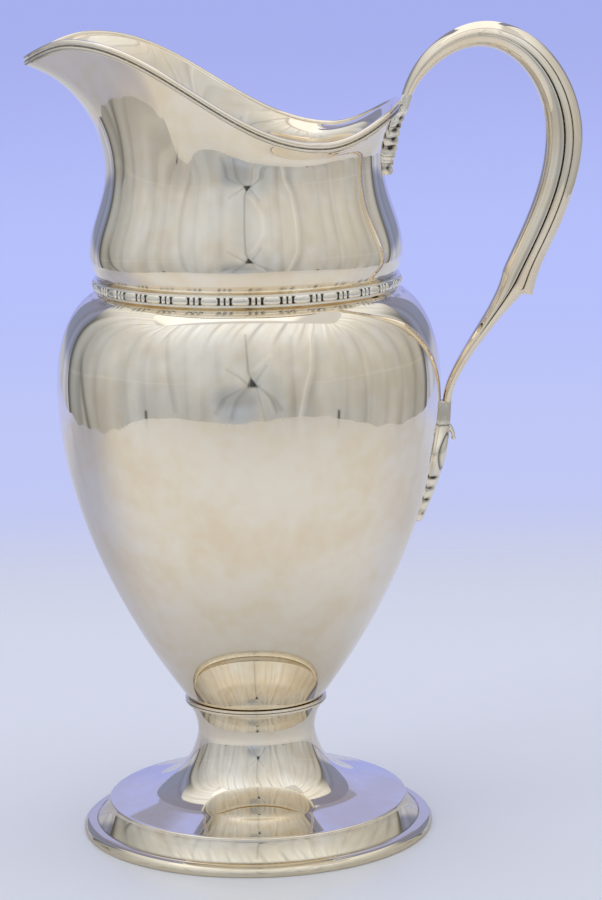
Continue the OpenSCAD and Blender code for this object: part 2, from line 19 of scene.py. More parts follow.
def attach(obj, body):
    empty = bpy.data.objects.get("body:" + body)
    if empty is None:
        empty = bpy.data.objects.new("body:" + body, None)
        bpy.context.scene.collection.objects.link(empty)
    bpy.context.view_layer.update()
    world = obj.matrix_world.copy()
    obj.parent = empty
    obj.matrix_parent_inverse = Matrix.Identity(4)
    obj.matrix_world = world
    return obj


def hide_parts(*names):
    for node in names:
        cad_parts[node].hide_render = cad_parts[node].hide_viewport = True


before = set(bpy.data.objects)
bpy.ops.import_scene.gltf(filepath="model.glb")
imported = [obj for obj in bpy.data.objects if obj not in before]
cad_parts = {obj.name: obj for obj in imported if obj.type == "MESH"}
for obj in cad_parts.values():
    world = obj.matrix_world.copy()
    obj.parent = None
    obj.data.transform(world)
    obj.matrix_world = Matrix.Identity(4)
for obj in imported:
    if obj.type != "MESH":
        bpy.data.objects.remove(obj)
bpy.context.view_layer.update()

MM = 0.001
WELD = 2e-6
GAP = 0.1
LOG = logging.getLogger("ewer")

Array = np.ndarray
Colour = tuple[float, float, float]
Place = tuple[float, float, float]
Pair = tuple[float, float]


class Slot(Enum):
    """The record's material slots."""

    BODY = "silver_body"
    WIRE = "silver_wire"
    HANDLE = "silver_handle"
    CAST = "silver_cast"


class Ends(Enum):
    """How the first and the last row of a grid end."""

    JOINED = "joined"
    CAPPED = "capped"


def mix(a: Array | float, b: Array | float, share: Array | float) -> Array:
    """Value that goes from a to b as share goes from 0 to 1."""
    return a + (np.asarray(b) - a) * share


def bump(x: Array, middle: float, half: float) -> Array:
    """Bell curve of height 1 around middle."""
    return np.exp(-(((np.asarray(x) - middle) / half) ** 2))


def step(x: Array, low: float, high: float) -> Array:
    """Smooth step from 0 at low to 1 at high."""
    u = np.clip((np.asarray(x) - low) / (high - low), 0.0, 1.0)
    return u * u * (3 - 2 * u)


def half_wave(u: Array) -> Array:
    """Half a cosine wave, 1 at u = 0 and 0 at u = 1."""
    return (1 + np.cos(np.pi * np.asarray(u))) / 2


def bezier(points: Array, u: Array) -> Array:
    """Cubic curve through the first and the last of four points.

    Args:
        points: Four control points, one a row.
        u: Places along the curve, from 0 to 1.

    Returns:
        One point a row.
    """
    p = np.asarray(points, float)
    u = np.asarray(u, float)[:, None]
    v = 1 - u
    return v**3 * p[0] + 3 * u * v**2 * p[1] + 3 * u**2 * v * p[2] + u**3 * p[3]


def arc(middle: Pair, radius: float, start: float, end: float, count: int) -> Array:
    """Circular arc between two angles in degrees, one point a row."""
    a = np.radians(np.linspace(start, end, count))
    return np.stack([middle[0] + radius * np.cos(a), middle[1] + radius * np.sin(a)], -1)


def even(path: Array, count: int) -> Array:
    """The same path with points at equal distances along it."""
    run = np.concatenate([[0], np.cumsum(np.linalg.norm(np.diff(path, axis=0), axis=1))])
    at = np.linspace(0, run[-1], count)
    return np.stack([np.interp(at, run, path[:, k]) for k in range(path.shape[1])], -1)


def soften(rows: Array, passes: int) -> Array:
    """Rounds kinks along the first axis: each pass averages a row with its two neighbours.

    Args:
        rows: Points, with the direction to smooth first.
        passes: Number of passes. The first and the last row stay.

    Returns:
        The smoothed points.
    """
    out = np.array(rows, float)
    for _ in range(passes):
        out[1:-1] = out[1:-1] / 2 + (out[:-2] + out[2:]) / 4
    return out


def unit(rows: Array) -> Array:
    """Vectors scaled to length 1."""
    return rows / np.linalg.norm(rows, axis=-1, keepdims=True)


def direction(path: Array) -> Array:
    """Unit vectors along a path."""
    return unit(np.gradient(path, axis=0))


def inset(path: Array, wall: float) -> Array:
    """Second outline of a wall: each point moved by the wall to the left of the path's direction."""
    d = np.gradient(path, axis=0)
    d /= np.maximum(np.linalg.norm(d, axis=1, keepdims=True), 1e-9)
    return path + wall * np.stack([-d[:, 1], d[:, 0]], -1)


def turned(path: Array, count: int) -> Array:
    """Grid of a path of (radius, height) turned about Z: x = r cos t, y = r sin t."""
    t = np.linspace(0, 2 * np.pi, count, endpoint=False)
    r, z = path[:, :1], path[:, 1:]
    return np.stack([r * np.cos(t), r * np.sin(t), z + 0 * t], -1)


def place(name: str, data: bpy.types.ID) -> bpy.types.Object:
    """Puts data into the scene as an object at the origin."""
    made = bpy.data.objects.new(name, data)
    bpy.context.scene.collection.objects.link(made)
    return made


@dataclass
class Shell:
    """A grid of points that becomes one mesh piece.

    The grid has rows, columns and three coordinates in millimetres. Columns always join up.
    """

    name: str
    grid: Array
    ends: Ends = Ends.CAPPED
    tarnish_shade_mask: Array | None = None

    def _corners(self) -> tuple[Array, Array]:
        """Vertex numbers and grid places of the four corners of each face."""
        rows, cols = self.grid.shape[:2]
        last = rows if self.ends is Ends.JOINED else rows - 1
        i, j = np.meshgrid(np.arange(last), np.arange(cols), indexing="ij")
        places = np.stack(
            [np.stack([i + a, j + b], -1) for a, b in ((0, 0), (0, 1), (1, 1), (1, 0))], 2
        ).reshape(-1, 4, 2)
        numbers = (places[..., 0] % rows) * cols + places[..., 1] % cols
        return numbers, places

    def _capped(self) -> Array:
        """Grid with its first and last row drawn together to one point each."""
        first = np.broadcast_to(self.grid[0].mean(0), self.grid[0].shape)
        last = np.broadcast_to(self.grid[-1].mean(0), self.grid[-1].shape)
        return np.concatenate([first[None], self.grid, last[None]])

    def piece(self) -> bpy.types.Object:
        """Writes the mesh, welds its poles and turns its faces outwards.

        Returns:
            The object, at the origin.
        """
        tarnish_shade_mask = self.tarnish_shade_mask
        if self.ends is Ends.CAPPED:
            self.grid = self._capped()
            if tarnish_shade_mask is not None:
                tarnish_shade_mask = np.concatenate([tarnish_shade_mask[:1], tarnish_shade_mask, tarnish_shade_mask[-1:]])
        numbers, places = self._corners()
        points = self.grid.reshape(-1, 3) * MM
        a, b, c, d = (points[numbers[:, k]] for k in range(4))
        volume = np.einsum("ij,ij->", a, np.cross(b, c) + np.cross(c, d))
        if volume < 0:
            numbers, places = numbers[:, ::-1], places[:, ::-1]
        mesh = bpy.data.meshes.new(self.name)
        mesh.from_pydata(points.tolist(), [], numbers.tolist())
        lay = mesh.uv_layers.new(name="UVMap")
        size = np.array(self.grid.shape[:2], float)
        lay.data.foreach_set("uv", (places / size)[..., ::-1].astype(np.float32).ravel())
        mask = mesh.attributes.new("tarnish_shade_mask", "FLOAT", "POINT")
        values = np.zeros(len(points)) if tarnish_shade_mask is None else tarnish_shade_mask.ravel()
        mask.data.foreach_set("value", values.astype(np.float32))
        shape = bmesh.new()
        shape.from_mesh(mesh)
        bmesh.ops.remove_doubles(shape, verts=shape.verts, dist=WELD)
        shape.to_mesh(mesh)
        shape.free()
        mesh.polygons.foreach_set("use_smooth", np.ones(len(mesh.polygons), bool))
        mesh.update()
        return place(self.name, mesh)


class Graph:
    """Short way to add and link the nodes of one tree."""

    def __init__(self, tree: bpy.types.NodeTree) -> None:
        """Keeps the tree and empties it.

        Args:
            tree: Node tree of a material, a world or a group.
        """
        self.tree = tree
        tree.nodes.clear()

    def add(self, kind: str, inputs: dict | None = None, **settings: object) -> bpy.types.Node:
        """Adds a node.

        Args:
            kind: Node type without the ShaderNode prefix.
            inputs: Socket name or number to a value or to an output socket.
            settings: Attributes of the node.

        Returns:
            The node.
        """
        prefix = "" if kind.startswith("NodeGroup") else "ShaderNode"
        node = self.tree.nodes.new(prefix + kind)
        for key, value in settings.items():
            setattr(node, key, value)
        for key, value in (inputs or {}).items():
            if isinstance(value, bpy.types.NodeSocket):
                self.tree.links.new(value, node.inputs[key])
            else:
                node.inputs[key].default_value = value
        return node

    def math(self, operation: str, *values: object) -> bpy.types.NodeSocket:
        """Output of a Math node on sockets or numbers."""
        return self.add("Math", dict(enumerate(values)), operation=operation).outputs[0]

    def span(
        self, value: object, low: float, high: float, to: Pair = (0, 1)
    ) -> bpy.types.NodeSocket:
        """Output of a Map Range node that eases from low to high."""
        ends = {0: value, 1: low, 2: high, 3: to[0], 4: to[1]}
        return self.add("MapRange", ends, interpolation_type="SMOOTHSTEP").outputs[0]

    def blend(self, share: object, a: object, b: object) -> bpy.types.NodeSocket:
        """Colour between a and b."""
        return self.add("Mix", {0: share, 6: a, 7: b}, data_type="RGBA").outputs[2]

    def noise(self, vector: object, scale: float, detail: float = 2.0) -> bpy.types.NodeSocket:
        """Noise value on a vector."""
        return self.add("TexNoise", {"Vector": vector, "Scale": scale, "Detail": detail}).outputs[0]


def node_material(name: str) -> tuple[bpy.types.Material, Graph]:
    """Empty node material and the graph of its nodes."""
    made = bpy.data.materials.new(name)
    made.use_nodes = True
    return made, Graph(made.node_tree)


class SilverEffects:
    """Node groups that every silver finish shares."""

    def __init__(self) -> None:
        """Builds the three groups."""
        self.tone = self._tone()
        self.tarnish = self._tarnish()
        self.hairlines = self._hairlines()

    @staticmethod
    def _new(
        name: str, inputs: dict[str, str], outputs: dict[str, str]
    ) -> tuple[Graph, bpy.types.Node, bpy.types.Node]:
        """Makes an empty group.

        Args:
            name: Name of the group.
            inputs: Input name to kind of socket.
            outputs: Output name to kind of socket.

        Returns:
            The graph, its input node and its output node.
        """
        tree = bpy.data.node_groups.new(name, "ShaderNodeTree")
        for way, sockets in (("INPUT", inputs), ("OUTPUT", outputs)):
            for key, kind in sockets.items():
                tree.interface.new_socket(key, in_out=way, socket_type="NodeSocket" + kind)
        graph = Graph(tree)
        return graph, graph.add("NodeGroupInput"), graph.add("NodeGroupOutput")

    def _tone(self) -> bpy.types.NodeTree:
        """Broad soft patches between clean and yellowed silver, with a finer cloudiness."""
        g, given, out = self._new(
            "silver_tone",
            {"Vector": "Vector", "Scale": "Float", "Clean": "Color", "Yellowed": "Color"},
            {"Color": "Color"},
        )
        size = {0: given.outputs["Vector"], "Scale": given.outputs["Scale"]}
        scaled = g.add("VectorMath", size, operation="SCALE").outputs[0]
        broad = g.noise(scaled, 1.0, 3.0)
        fine = g.noise(scaled, 5.5, 4.0)
        share = g.span(g.math("ADD", broad, g.math("MULTIPLY", fine, 0.5)), 0.5, 1.0)
        colour = g.blend(share, given.outputs["Clean"], given.outputs["Yellowed"])
        g.tree.links.new(colour, out.inputs["Color"])
        return g.tree

    def _tarnish(self) -> bpy.types.NodeTree:
        """Dark sulphide where the mask attribute is high, broken up by noise.

        The mask holds tarnish in grooves and joints, and painted shade and painted reflections where a piece
        sets them.
        """
        g, given, out = self._new(
            "tarnish_and_painted_shade",
            {"Vector": "Vector", "TarnishShade": "Float", "Amount": "Float", "Veil": "Float"},
            {"Mask": "Float"},
        )
        grain = g.noise(given.outputs["Vector"], 900.0, 3.0)
        deep = g.math("MULTIPLY", given.outputs["TarnishShade"], g.span(grain, 0.1, 0.6, (0.72, 1.12)))
        cloud = g.span(g.noise(given.outputs["Vector"], 38.0, 5.0), 0.5, 0.8)
        veil = g.math("MULTIPLY", cloud, given.outputs["Veil"])
        both = g.math("ADD", g.math("MULTIPLY", deep, given.outputs["Amount"]), veil)
        g.tree.links.new(g.math("MINIMUM", both, 1.0), out.inputs["Mask"])
        return g.tree

    def _hairlines(self) -> bpy.types.NodeTree:
        """Fine polishing scratches: three sets of stretched noise cut down to thin streaks."""
        g, given, out = self._new("hairlines", {"Vector": "Vector"}, {"Lines": "Float", "Smears": "Float"})
        lines: object = 0.0
        for turn, across in (((0.3, 0.9, 0.2), 1100.0), ((1.2, 0.1, 1.7), 1400.0), ((2.1, 1.4, 0.8), 900.0)):
            stretch = (across, 36.0, 36.0)
            laid = g.add("Mapping", {"Vector": given.outputs["Vector"], "Rotation": turn, "Scale": stretch})
            streak = g.span(g.noise(laid.outputs[0], 1.0, 1.0), 0.64, 0.74)
            lines = g.math("MAXIMUM", lines, streak)
        smear = g.span(g.noise(given.outputs["Vector"], 55.0, 4.0), 0.42, 0.72)
        g.tree.links.new(lines, out.inputs["Lines"])
        g.tree.links.new(smear, out.inputs["Smears"])
        return g.tree


@dataclass(frozen=True)
class SilverFinish:
    """One way that the silver is finished.

    Colours are linear. Roughness runs from polished to smeared, and scratches and tarnish add to it.
    wave is the height in metres of the shallow unevenness that hand raising and buffing leave, and a
    scratch cuts into it by a share. Below the two heights in metres comes a darker, warmer tint: painted
    shade next to the table.
    """

    slot: Slot
    clean: Colour = (0.955, 0.9, 0.805)
    yellowed: Colour = (0.915, 0.8, 0.63)
    low_shade_tint: Colour = (0.78, 0.69, 0.52)
    sulphide_and_shade: Colour = (0.045, 0.036, 0.028)
    polished: float = 0.02
    smeared: float = 0.055
    tarnish: float = 1.0
    veil: float = 0.03
    wave: float = 1.2e-5
    wave_scale: float = 70.0
    tone_scale: float = 38.0
    low_shade_z: Pair = (0.011, 0.004)
    low_shade_share: float = 0.5
    scratch_rough: float = 0.05
    scratch_cut: float = 0.02
    tarnish_rough: float = 0.4

    def material(self, effects: SilverEffects) -> bpy.types.Material:
        """Builds the node material of this finish.

        Args:
            effects: The shared node groups.

        Returns:
            The material.
        """
        made, g = node_material(self.slot.value)
        where = g.add("TexCoord").outputs["Object"]
        tarnish_shade_mask = g.add("Attribute", attribute_name="tarnish_shade_mask").outputs["Fac"]
        tone = g.add("Group", {
            "Vector": where,
            "Scale": self.tone_scale,
            "Clean": (*self.clean, 1),
            "Yellowed": (*self.yellowed, 1),
        }, node_tree=effects.tone).outputs["Color"]
        height = g.add("SeparateXYZ", {0: where}).outputs["Z"]
        # Painted shade next to the table: the lowest part turns darker and warmer.
        low = g.span(height, *self.low_shade_z, (0.0, self.low_shade_share))
        tone = g.blend(low, tone, (*self.low_shade_tint, 1))
        # Mask of tarnish, painted shade and painted reflections, which darkens the colour below.
        mask = g.add("Group", {
            "Vector": where, "TarnishShade": tarnish_shade_mask, "Amount": self.tarnish, "Veil": self.veil
        }, node_tree=effects.tarnish).outputs["Mask"]
        lines, smears = g.add("Group", {"Vector": where}, node_tree=effects.hairlines).outputs
        smeared = g.math("MULTIPLY", smears, self.smeared - self.polished)
        rough = g.math("ADD", smeared, self.polished)
        rough = g.math("ADD", rough, g.math("MULTIPLY", lines, self.scratch_rough))
        rough = g.math("ADD", rough, g.math("MULTIPLY", mask, self.tarnish_rough))
        cuts = g.math("MULTIPLY", lines, self.scratch_cut)
        relief = g.math("SUBTRACT", g.noise(where, self.wave_scale, 1.0), cuts)
        uneven = g.add("Bump", {"Strength": 1.0, "Distance": self.wave, "Height": relief})
        shader = g.add("BsdfPrincipled", {
            "Base Color": g.blend(mask, tone, (*self.sulphide_and_shade, 1)),
            "Metallic": 1.0,
            "Roughness": rough,
            "Normal": uneven.outputs[0],
        })
        g.add("OutputMaterial", {"Surface": shader.outputs[0]})
        return made


class Workshop:
    """Holds the finished materials and puts pieces on the frame."""

    def __init__(self) -> None:
        """Builds one material for each slot."""
        effects = SilverEffects()
        finishes = (
            SilverFinish(Slot.BODY),
            SilverFinish(Slot.WIRE, clean=(0.93, 0.865, 0.75), wave=4e-6, wave_scale=160.0),
            SilverFinish(Slot.HANDLE, clean=(0.94, 0.87, 0.755), veil=0.04, wave=4e-6, wave_scale=120.0),
            SilverFinish(
                Slot.CAST, clean=(0.95, 0.915, 0.85), yellowed=(0.93, 0.86, 0.73), polished=0.035,
                smeared=0.09, veil=0.05, wave=4e-6, wave_scale=300.0,
            ),
        )
        self.materials = {f.slot: f.material(effects) for f in finishes}

    def mount(self, piece: bpy.types.Object, slot: Slot, *nodes: str) -> bpy.types.Object:
        """Dresses a piece and lets it stand for CAD nodes.

        Args:
            piece: The new piece.
            slot: Its material slot.
            nodes: The CAD nodes that it replaces.

        Returns:
            The piece.
        """
        piece.data.materials.clear()
        piece.data.materials.append(self.materials[slot])
        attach(piece, "root")
        if nodes:
            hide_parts(*nodes)
        LOG.info("%s: %d vertices, %s", piece.name, len(piece.data.vertices), slot.value)
        return piece


@dataclass
class Pedestal:
    """Foot wire, spun trumpet foot and collar ring."""

    foot_r: float = 61.0
    foot_wire_h: float = 3.6
    foot_wire_w: float = 6.6
    foot_edge_h: float = 1.0
    foot_edge_round: float = 0.45
    foot_chamfer: float = 0.2
    foot_ledge_w: float = 2.0
    platform_r: float = 52.0
    platform_z: float = 10.0
    platform_round: float = 0.7
    platform_rise: float = 3.1
    flare_r: float = 38.0
    stem_waist_r: float = 20.3
    stem_waist_z: float = 34.0
    stem_top_r: float = 23.6
    stem_top_z: float = 44.6
    wall: float = 1.2
    collar_r: float = 24.6
    collar_h: float = 2.0
    collar_lap: float = 0.5
    cove_power: float = 1.5
    stem_power: float = 2.2
    foot_pull: Pair = (0.45, 3.6)
    waist_pull: Pair = (1.8, 0.43)
    seat_overlap: float = 0.2
    seat_tarnish: float = 0.45
    groove_tarnish: float = 0.5
    around: int = 288

    @property
    def seat(self) -> Pair:
        """Radius and height where the pedestal sits on the foot wire."""
        return self.foot_r - self.foot_wire_w + self.foot_ledge_w, self.foot_wire_h - self.seat_overlap

    def outline(self) -> Array:
        """Outside of the pedestal: a cove that spreads by a power, rounded edge, platform, flare and stem."""
        seat_r, seat_z = self.seat
        down = np.linspace(1, 0, 40)
        cove = np.stack([
            mix(self.platform_r, seat_r, down**self.cove_power), mix(self.platform_z, seat_z, down)
        ], -1)
        edge = arc((self.platform_r - self.platform_round, self.platform_z), self.platform_round, 8, 90, 10)
        start_z = self.platform_z + self.platform_round + self.platform_rise
        flat = np.linspace(edge[-1], (self.flare_r, start_z), 24)[1:-1]
        flare = bezier([
            (self.flare_r, start_z),
            (mix(self.stem_waist_r, self.flare_r, self.foot_pull[0]), start_z + self.foot_pull[1]),
            (self.stem_waist_r + self.waist_pull[0], mix(start_z, self.stem_waist_z, self.waist_pull[1])),
            (self.stem_waist_r, self.stem_waist_z),
        ], np.linspace(0, 1, 80))
        u = np.linspace(0, 1, 30)[1:]
        stem = np.stack([
            mix(self.stem_waist_r, self.stem_top_r, u**self.stem_power),
            mix(self.stem_waist_z, self.stem_top_z, u),
        ], -1)
        upper = soften(even(np.concatenate([flat, flare, stem]), 150), 12)
        return np.concatenate([cove, edge, upper])

    def build(self, shop: Workshop) -> None:
        """Builds the three turned pieces and dresses them.

        Args:
            shop: Where the materials are.
        """
        outer = self.outline()
        inner = inset(even(outer, 90), self.wall)
        keep = np.minimum.accumulate(inner[:, 0]) >= inner[:, 0] - 1e-6
        inner = inner[keep]
        inner[-1] = (self.stem_top_r - self.wall, self.stem_top_z)
        at_seat = bump(outer[:, 0], self.seat[0], 0.35) * (outer[:, 1] < 6)
        depth = np.concatenate([self.seat_tarnish * at_seat, np.zeros(len(inner))])
        ring = np.concatenate([outer, inner[::-1]])
        self._turn("pedestal_trumpet", ring, depth, shop, Slot.BODY, "pedestal")
        self._turn("foot_moulding", self._foot_ring(), None, shop, Slot.WIRE, "foot_wire")
        collar, groove = self._collar_ring()
        self._turn("collar_reeds", collar, groove, shop, Slot.WIRE, "collar_ring")

    def _turn(
        self, name: str, ring: Array, depth: Array | None, shop: Workshop, slot: Slot, node: str
    ) -> None:
        """Turns a closed section about the axis and mounts it."""
        tarnish_shade_mask = None if depth is None else np.repeat(depth[:, None], self.around, 1)
        shell = Shell(name, turned(ring, self.around), Ends.JOINED, tarnish_shade_mask)
        shop.mount(shell.piece(), slot, node)

    def _foot_ring(self) -> Array:
        """Section of the foot wire: a rounded upright edge under a quarter ellipse, flat below."""
        inner_r = self.foot_r - self.foot_wire_w
        top_r = self.seat[0] + GAP
        a = np.radians(np.linspace(0, 90, 26))
        crown = np.stack([
            mix(top_r, self.foot_r, np.cos(a)), mix(self.foot_edge_h, self.foot_wire_h, np.sin(a))
        ], -1)
        ledge_z = self.seat[1] - self.wall - GAP
        edge, cut = self.foot_edge_round, self.foot_chamfer
        lower = arc((self.foot_r - edge, edge), edge, -90, 0, 8)
        return np.concatenate([
            [(inner_r, ledge_z), (inner_r, cut), (inner_r + cut, 0)], lower, crown, [(top_r, ledge_z)]
        ])

    def _collar_ring(self) -> tuple[Array, Array]:
        """Section of the collar, two half-round reeds, and how deep each point lies between them."""
        z, reed = self.stem_top_z + GAP, self.collar_h / 4
        inner_r = self.stem_top_r - self.wall - self.collar_lap
        low = arc((self.collar_r - reed, z + reed), reed, -90, 84, 14)
        high = arc((self.collar_r - reed, z + 3 * reed), reed, -84, 90, 14)
        ring = np.concatenate([[(inner_r, z)], low, high, [(inner_r, z + self.collar_h)]])
        groove = self.groove_tarnish * bump(ring[:, 1], z + 2 * reed, 0.16) * (ring[:, 0] > inner_r + 0.1)
        return ring, groove


@dataclass
class Body:
    """Ovoid bowl and the bead-and-reel band over its joint with the neck."""

    bottom_r: float = 23.6
    bottom_z: float = 46.8
    belly_r: float = 65.7
    belly_h: float = 109.0
    shoulder_h: float = 34.6
    shoulder_w: float = 20.7
    shoulder_square: float = 2.2
    lip_r: float = 50.8
    lip_h: float = 2.0
    wall: float = 1.2
    floor: float = 1.6
    floor_round: float = 1.5
    band_h: float = 4.2
    band_t: float = 1.2
    band_edge_h: float = 0.6
    bead_out: float = 0.6
    bead_count: int = 32
    bead_share: float = 0.57
    bead_power: float = 0.7
    reel_at: float = 0.41
    reel_half: float = 0.071
    reel_share: float = 0.92
    slits: Pair = (0.32, 0.5)
    slit_half: float = 0.042
    bed_d: float = 0.12
    edge_round: float = 0.3
    pull_r: float = 0.485
    pull_z: Pair = (0.25, 0.635)
    joint_tarnish: float = 0.05
    reel_reflection_dark: float = 0.8
    mark_drop: float = 1.5
    mark_half: float = 0.4
    bed_tarnish_and_shade: float = 0.95

    @property
    def belly_z(self) -> float:
        """Height of the greatest radius."""
        return self.bottom_z + self.belly_h

    @property
    def lip_z(self) -> float:
        """Height where the shoulder curve meets the lip."""
        return self.belly_z + self.shoulder_h * (1 - self._lip_share) ** (1 / self.shoulder_square)

    @property
    def _lip_share(self) -> float:
        """Share of the shoulder's width that is left at the lip, raised to the shoulder's power."""
        return ((self.lip_r - self.belly_r + self.shoulder_w) / self.shoulder_w) ** self.shoulder_square

    @property
    def curve(self) -> Array:
        """Four points of the lower curve, from the bottom edge to the belly."""
        return np.array([
            (self.bottom_r, self.bottom_z),
            (mix(self.bottom_r, self.belly_r, self.pull_r), self.bottom_z + self.pull_z[0] * self.belly_h),
            (self.belly_r, self.bottom_z + self.pull_z[1] * self.belly_h),
            (self.belly_r, self.belly_z),
        ])

    def outline(self) -> Array:
        """Outside of the bowl: a cubic curve below the belly, a squared ellipse above it, then softened."""
        lower = bezier(self.curve, np.linspace(0, 1, 120))
        a = np.linspace(0, math.acos(math.sqrt(self._lip_share)), 80)[1:]
        upper = np.stack([
            self.belly_r - self.shoulder_w + self.shoulder_w * np.cos(a) ** (2 / self.shoulder_square),
            self.belly_z + self.shoulder_h * np.sin(a) ** (2 / self.shoulder_square),
        ], -1)
        return soften(even(np.concatenate([lower, upper]), 210), 40)

    @staticmethod
    def _phase(turn: Array) -> Array:
        """Distance from the middle of the nearest bead, in repeats."""
        return np.abs((turn + 0.5) % 1 - 0.5)

    def reel_reflections(self, t: Array) -> Array:
        """Mask from 0 to 1 of painted reflections: the three narrow slits beside the two reels of each
        repeat.
        """
        phase = self._phase(np.asarray(t) / (2 * np.pi) * self.bead_count)
        return np.max([bump(phase, at, self.slit_half) for at in self.slits], axis=0)

    def build(self, shop: Workshop) -> None:
        """Builds the bowl and the band and dresses them.

        Args:
            shop: Where the materials are.
        """
        outer = self.outline()
        joint_z = self.lip_z + self.lip_h
        inner = inset(even(outer, 70), self.wall)
        floor_z = self.bottom_z + self.floor
        inner = inner[inner[:, 1] > floor_z + self.floor_round]
        base = np.linspace((0.0, self.bottom_z), (self.bottom_r - 0.3, self.bottom_z), 5)
        corner = (inner[0, 0] - self.floor_round - GAP, floor_z + self.floor_round)
        pan = arc(corner, self.floor_round, 0, -90, 7)
        bed = np.linspace(pan[-1], (0.0, floor_z), 6)[1:]
        lip = np.array([(self.lip_r, joint_z), (self.lip_r - self.wall, joint_z)])
        path = np.concatenate([base, outer, lip, inner[::-1], pan, bed])
        around = 10 * self.bead_count
        t = np.linspace(0, 2 * np.pi, around, endpoint=False)
        tarnish_shade_mask = np.zeros((len(path), around))
        under = self.lip_z - outer[:, 1:]
        joint = self.joint_tarnish * (1 - step(under, 0.0, 0.7))
        # Painted reflections of the band's reel slits: dark ticks on the shoulder just below the band.
        reflected_slits = self.reel_reflection_dark * bump(under, self.mark_drop, self.mark_half) * self.reel_reflections(t)
        tarnish_shade_mask[len(base) : len(base) + len(outer)] = joint + reflected_slits
        shell = Shell("bowl_shell", turned(path, around), Ends.CAPPED, tarnish_shade_mask)
        shop.mount(shell.piece(), Slot.BODY, "bowl")
        self._band(shop)

    def _band(self, shop: Workshop) -> None:
        """Builds the bead-and-reel strip.

        The radius over the bed is the larger of the bead and the two reels. Each swells as
        a power of 1 - |along|^n - |across|^m, where along runs from -1 to 1 over its own length.
        """
        inner_r = self.lip_r + GAP
        edge_r = inner_r + self.band_t
        bed_r = edge_r - self.bed_d
        tall = edge_r + self.bead_out - bed_r
        half_h = self.band_h / 2 - self.band_edge_h
        per = 64
        turn = np.arange(self.bead_count * per) / per
        phase = self._phase(turn)
        across = np.linspace(-1, 1, 25)[:, None]
        over = np.abs(across) ** 2.2
        bead = np.clip(1 - (phase / (self.bead_share / 2)) ** 6 - over, 0, 1) ** self.bead_power
        along = np.abs((phase - self.reel_at) / self.reel_half)
        reel = self.reel_share * np.clip(1 - along**4 - over, 0, 1) ** self.bead_power
        swell = tall * np.maximum(bead, reel)
        middle_z = self.lip_z + GAP + self.band_h / 2
        t = 2 * np.pi * turn / self.bead_count
        ones = np.ones_like(t)
        edge = arc((edge_r - self.edge_round, self.band_h / 2 - self.edge_round), self.edge_round, -35, 90, 9)
        fillet_up = [(r * ones, middle_z + z * ones) for r, z in edge]
        fillet_down = [(r * ones, middle_z - z * ones) for r, z in edge[::-1]]
        back = [((inner_r - 0.05) * ones, middle_z + s * self.band_h / 2 * ones) for s in (1, -1)]
        beads = [(bed_r + swell[k], middle_z + half_h * across[k] * ones) for k in range(len(across))]
        rows = [*fillet_down, *beads, *fillet_up, *back]
        r, z = (np.array([row[k] for row in rows]) for k in (0, 1))
        grid = np.stack([r * np.cos(t), r * np.sin(t), z], -1)
        # Tarnish and painted shade darken the low bed between the beads and the reels.
        low = 1 - step(swell, 0.05 * tall, 0.35 * tall)
        deep = self.bed_tarnish_and_shade * low * (1 - step(np.abs(across), 0.7, 0.95))
        none = np.zeros((len(edge), len(t)))
        tarnish_shade_mask = np.concatenate([none, deep, none, np.zeros((2, len(t)))])
        shop.mount(Shell("bead_and_reel_band", grid, Ends.JOINED, tarnish_shade_mask).piece(), Slot.CAST, "bead_band")


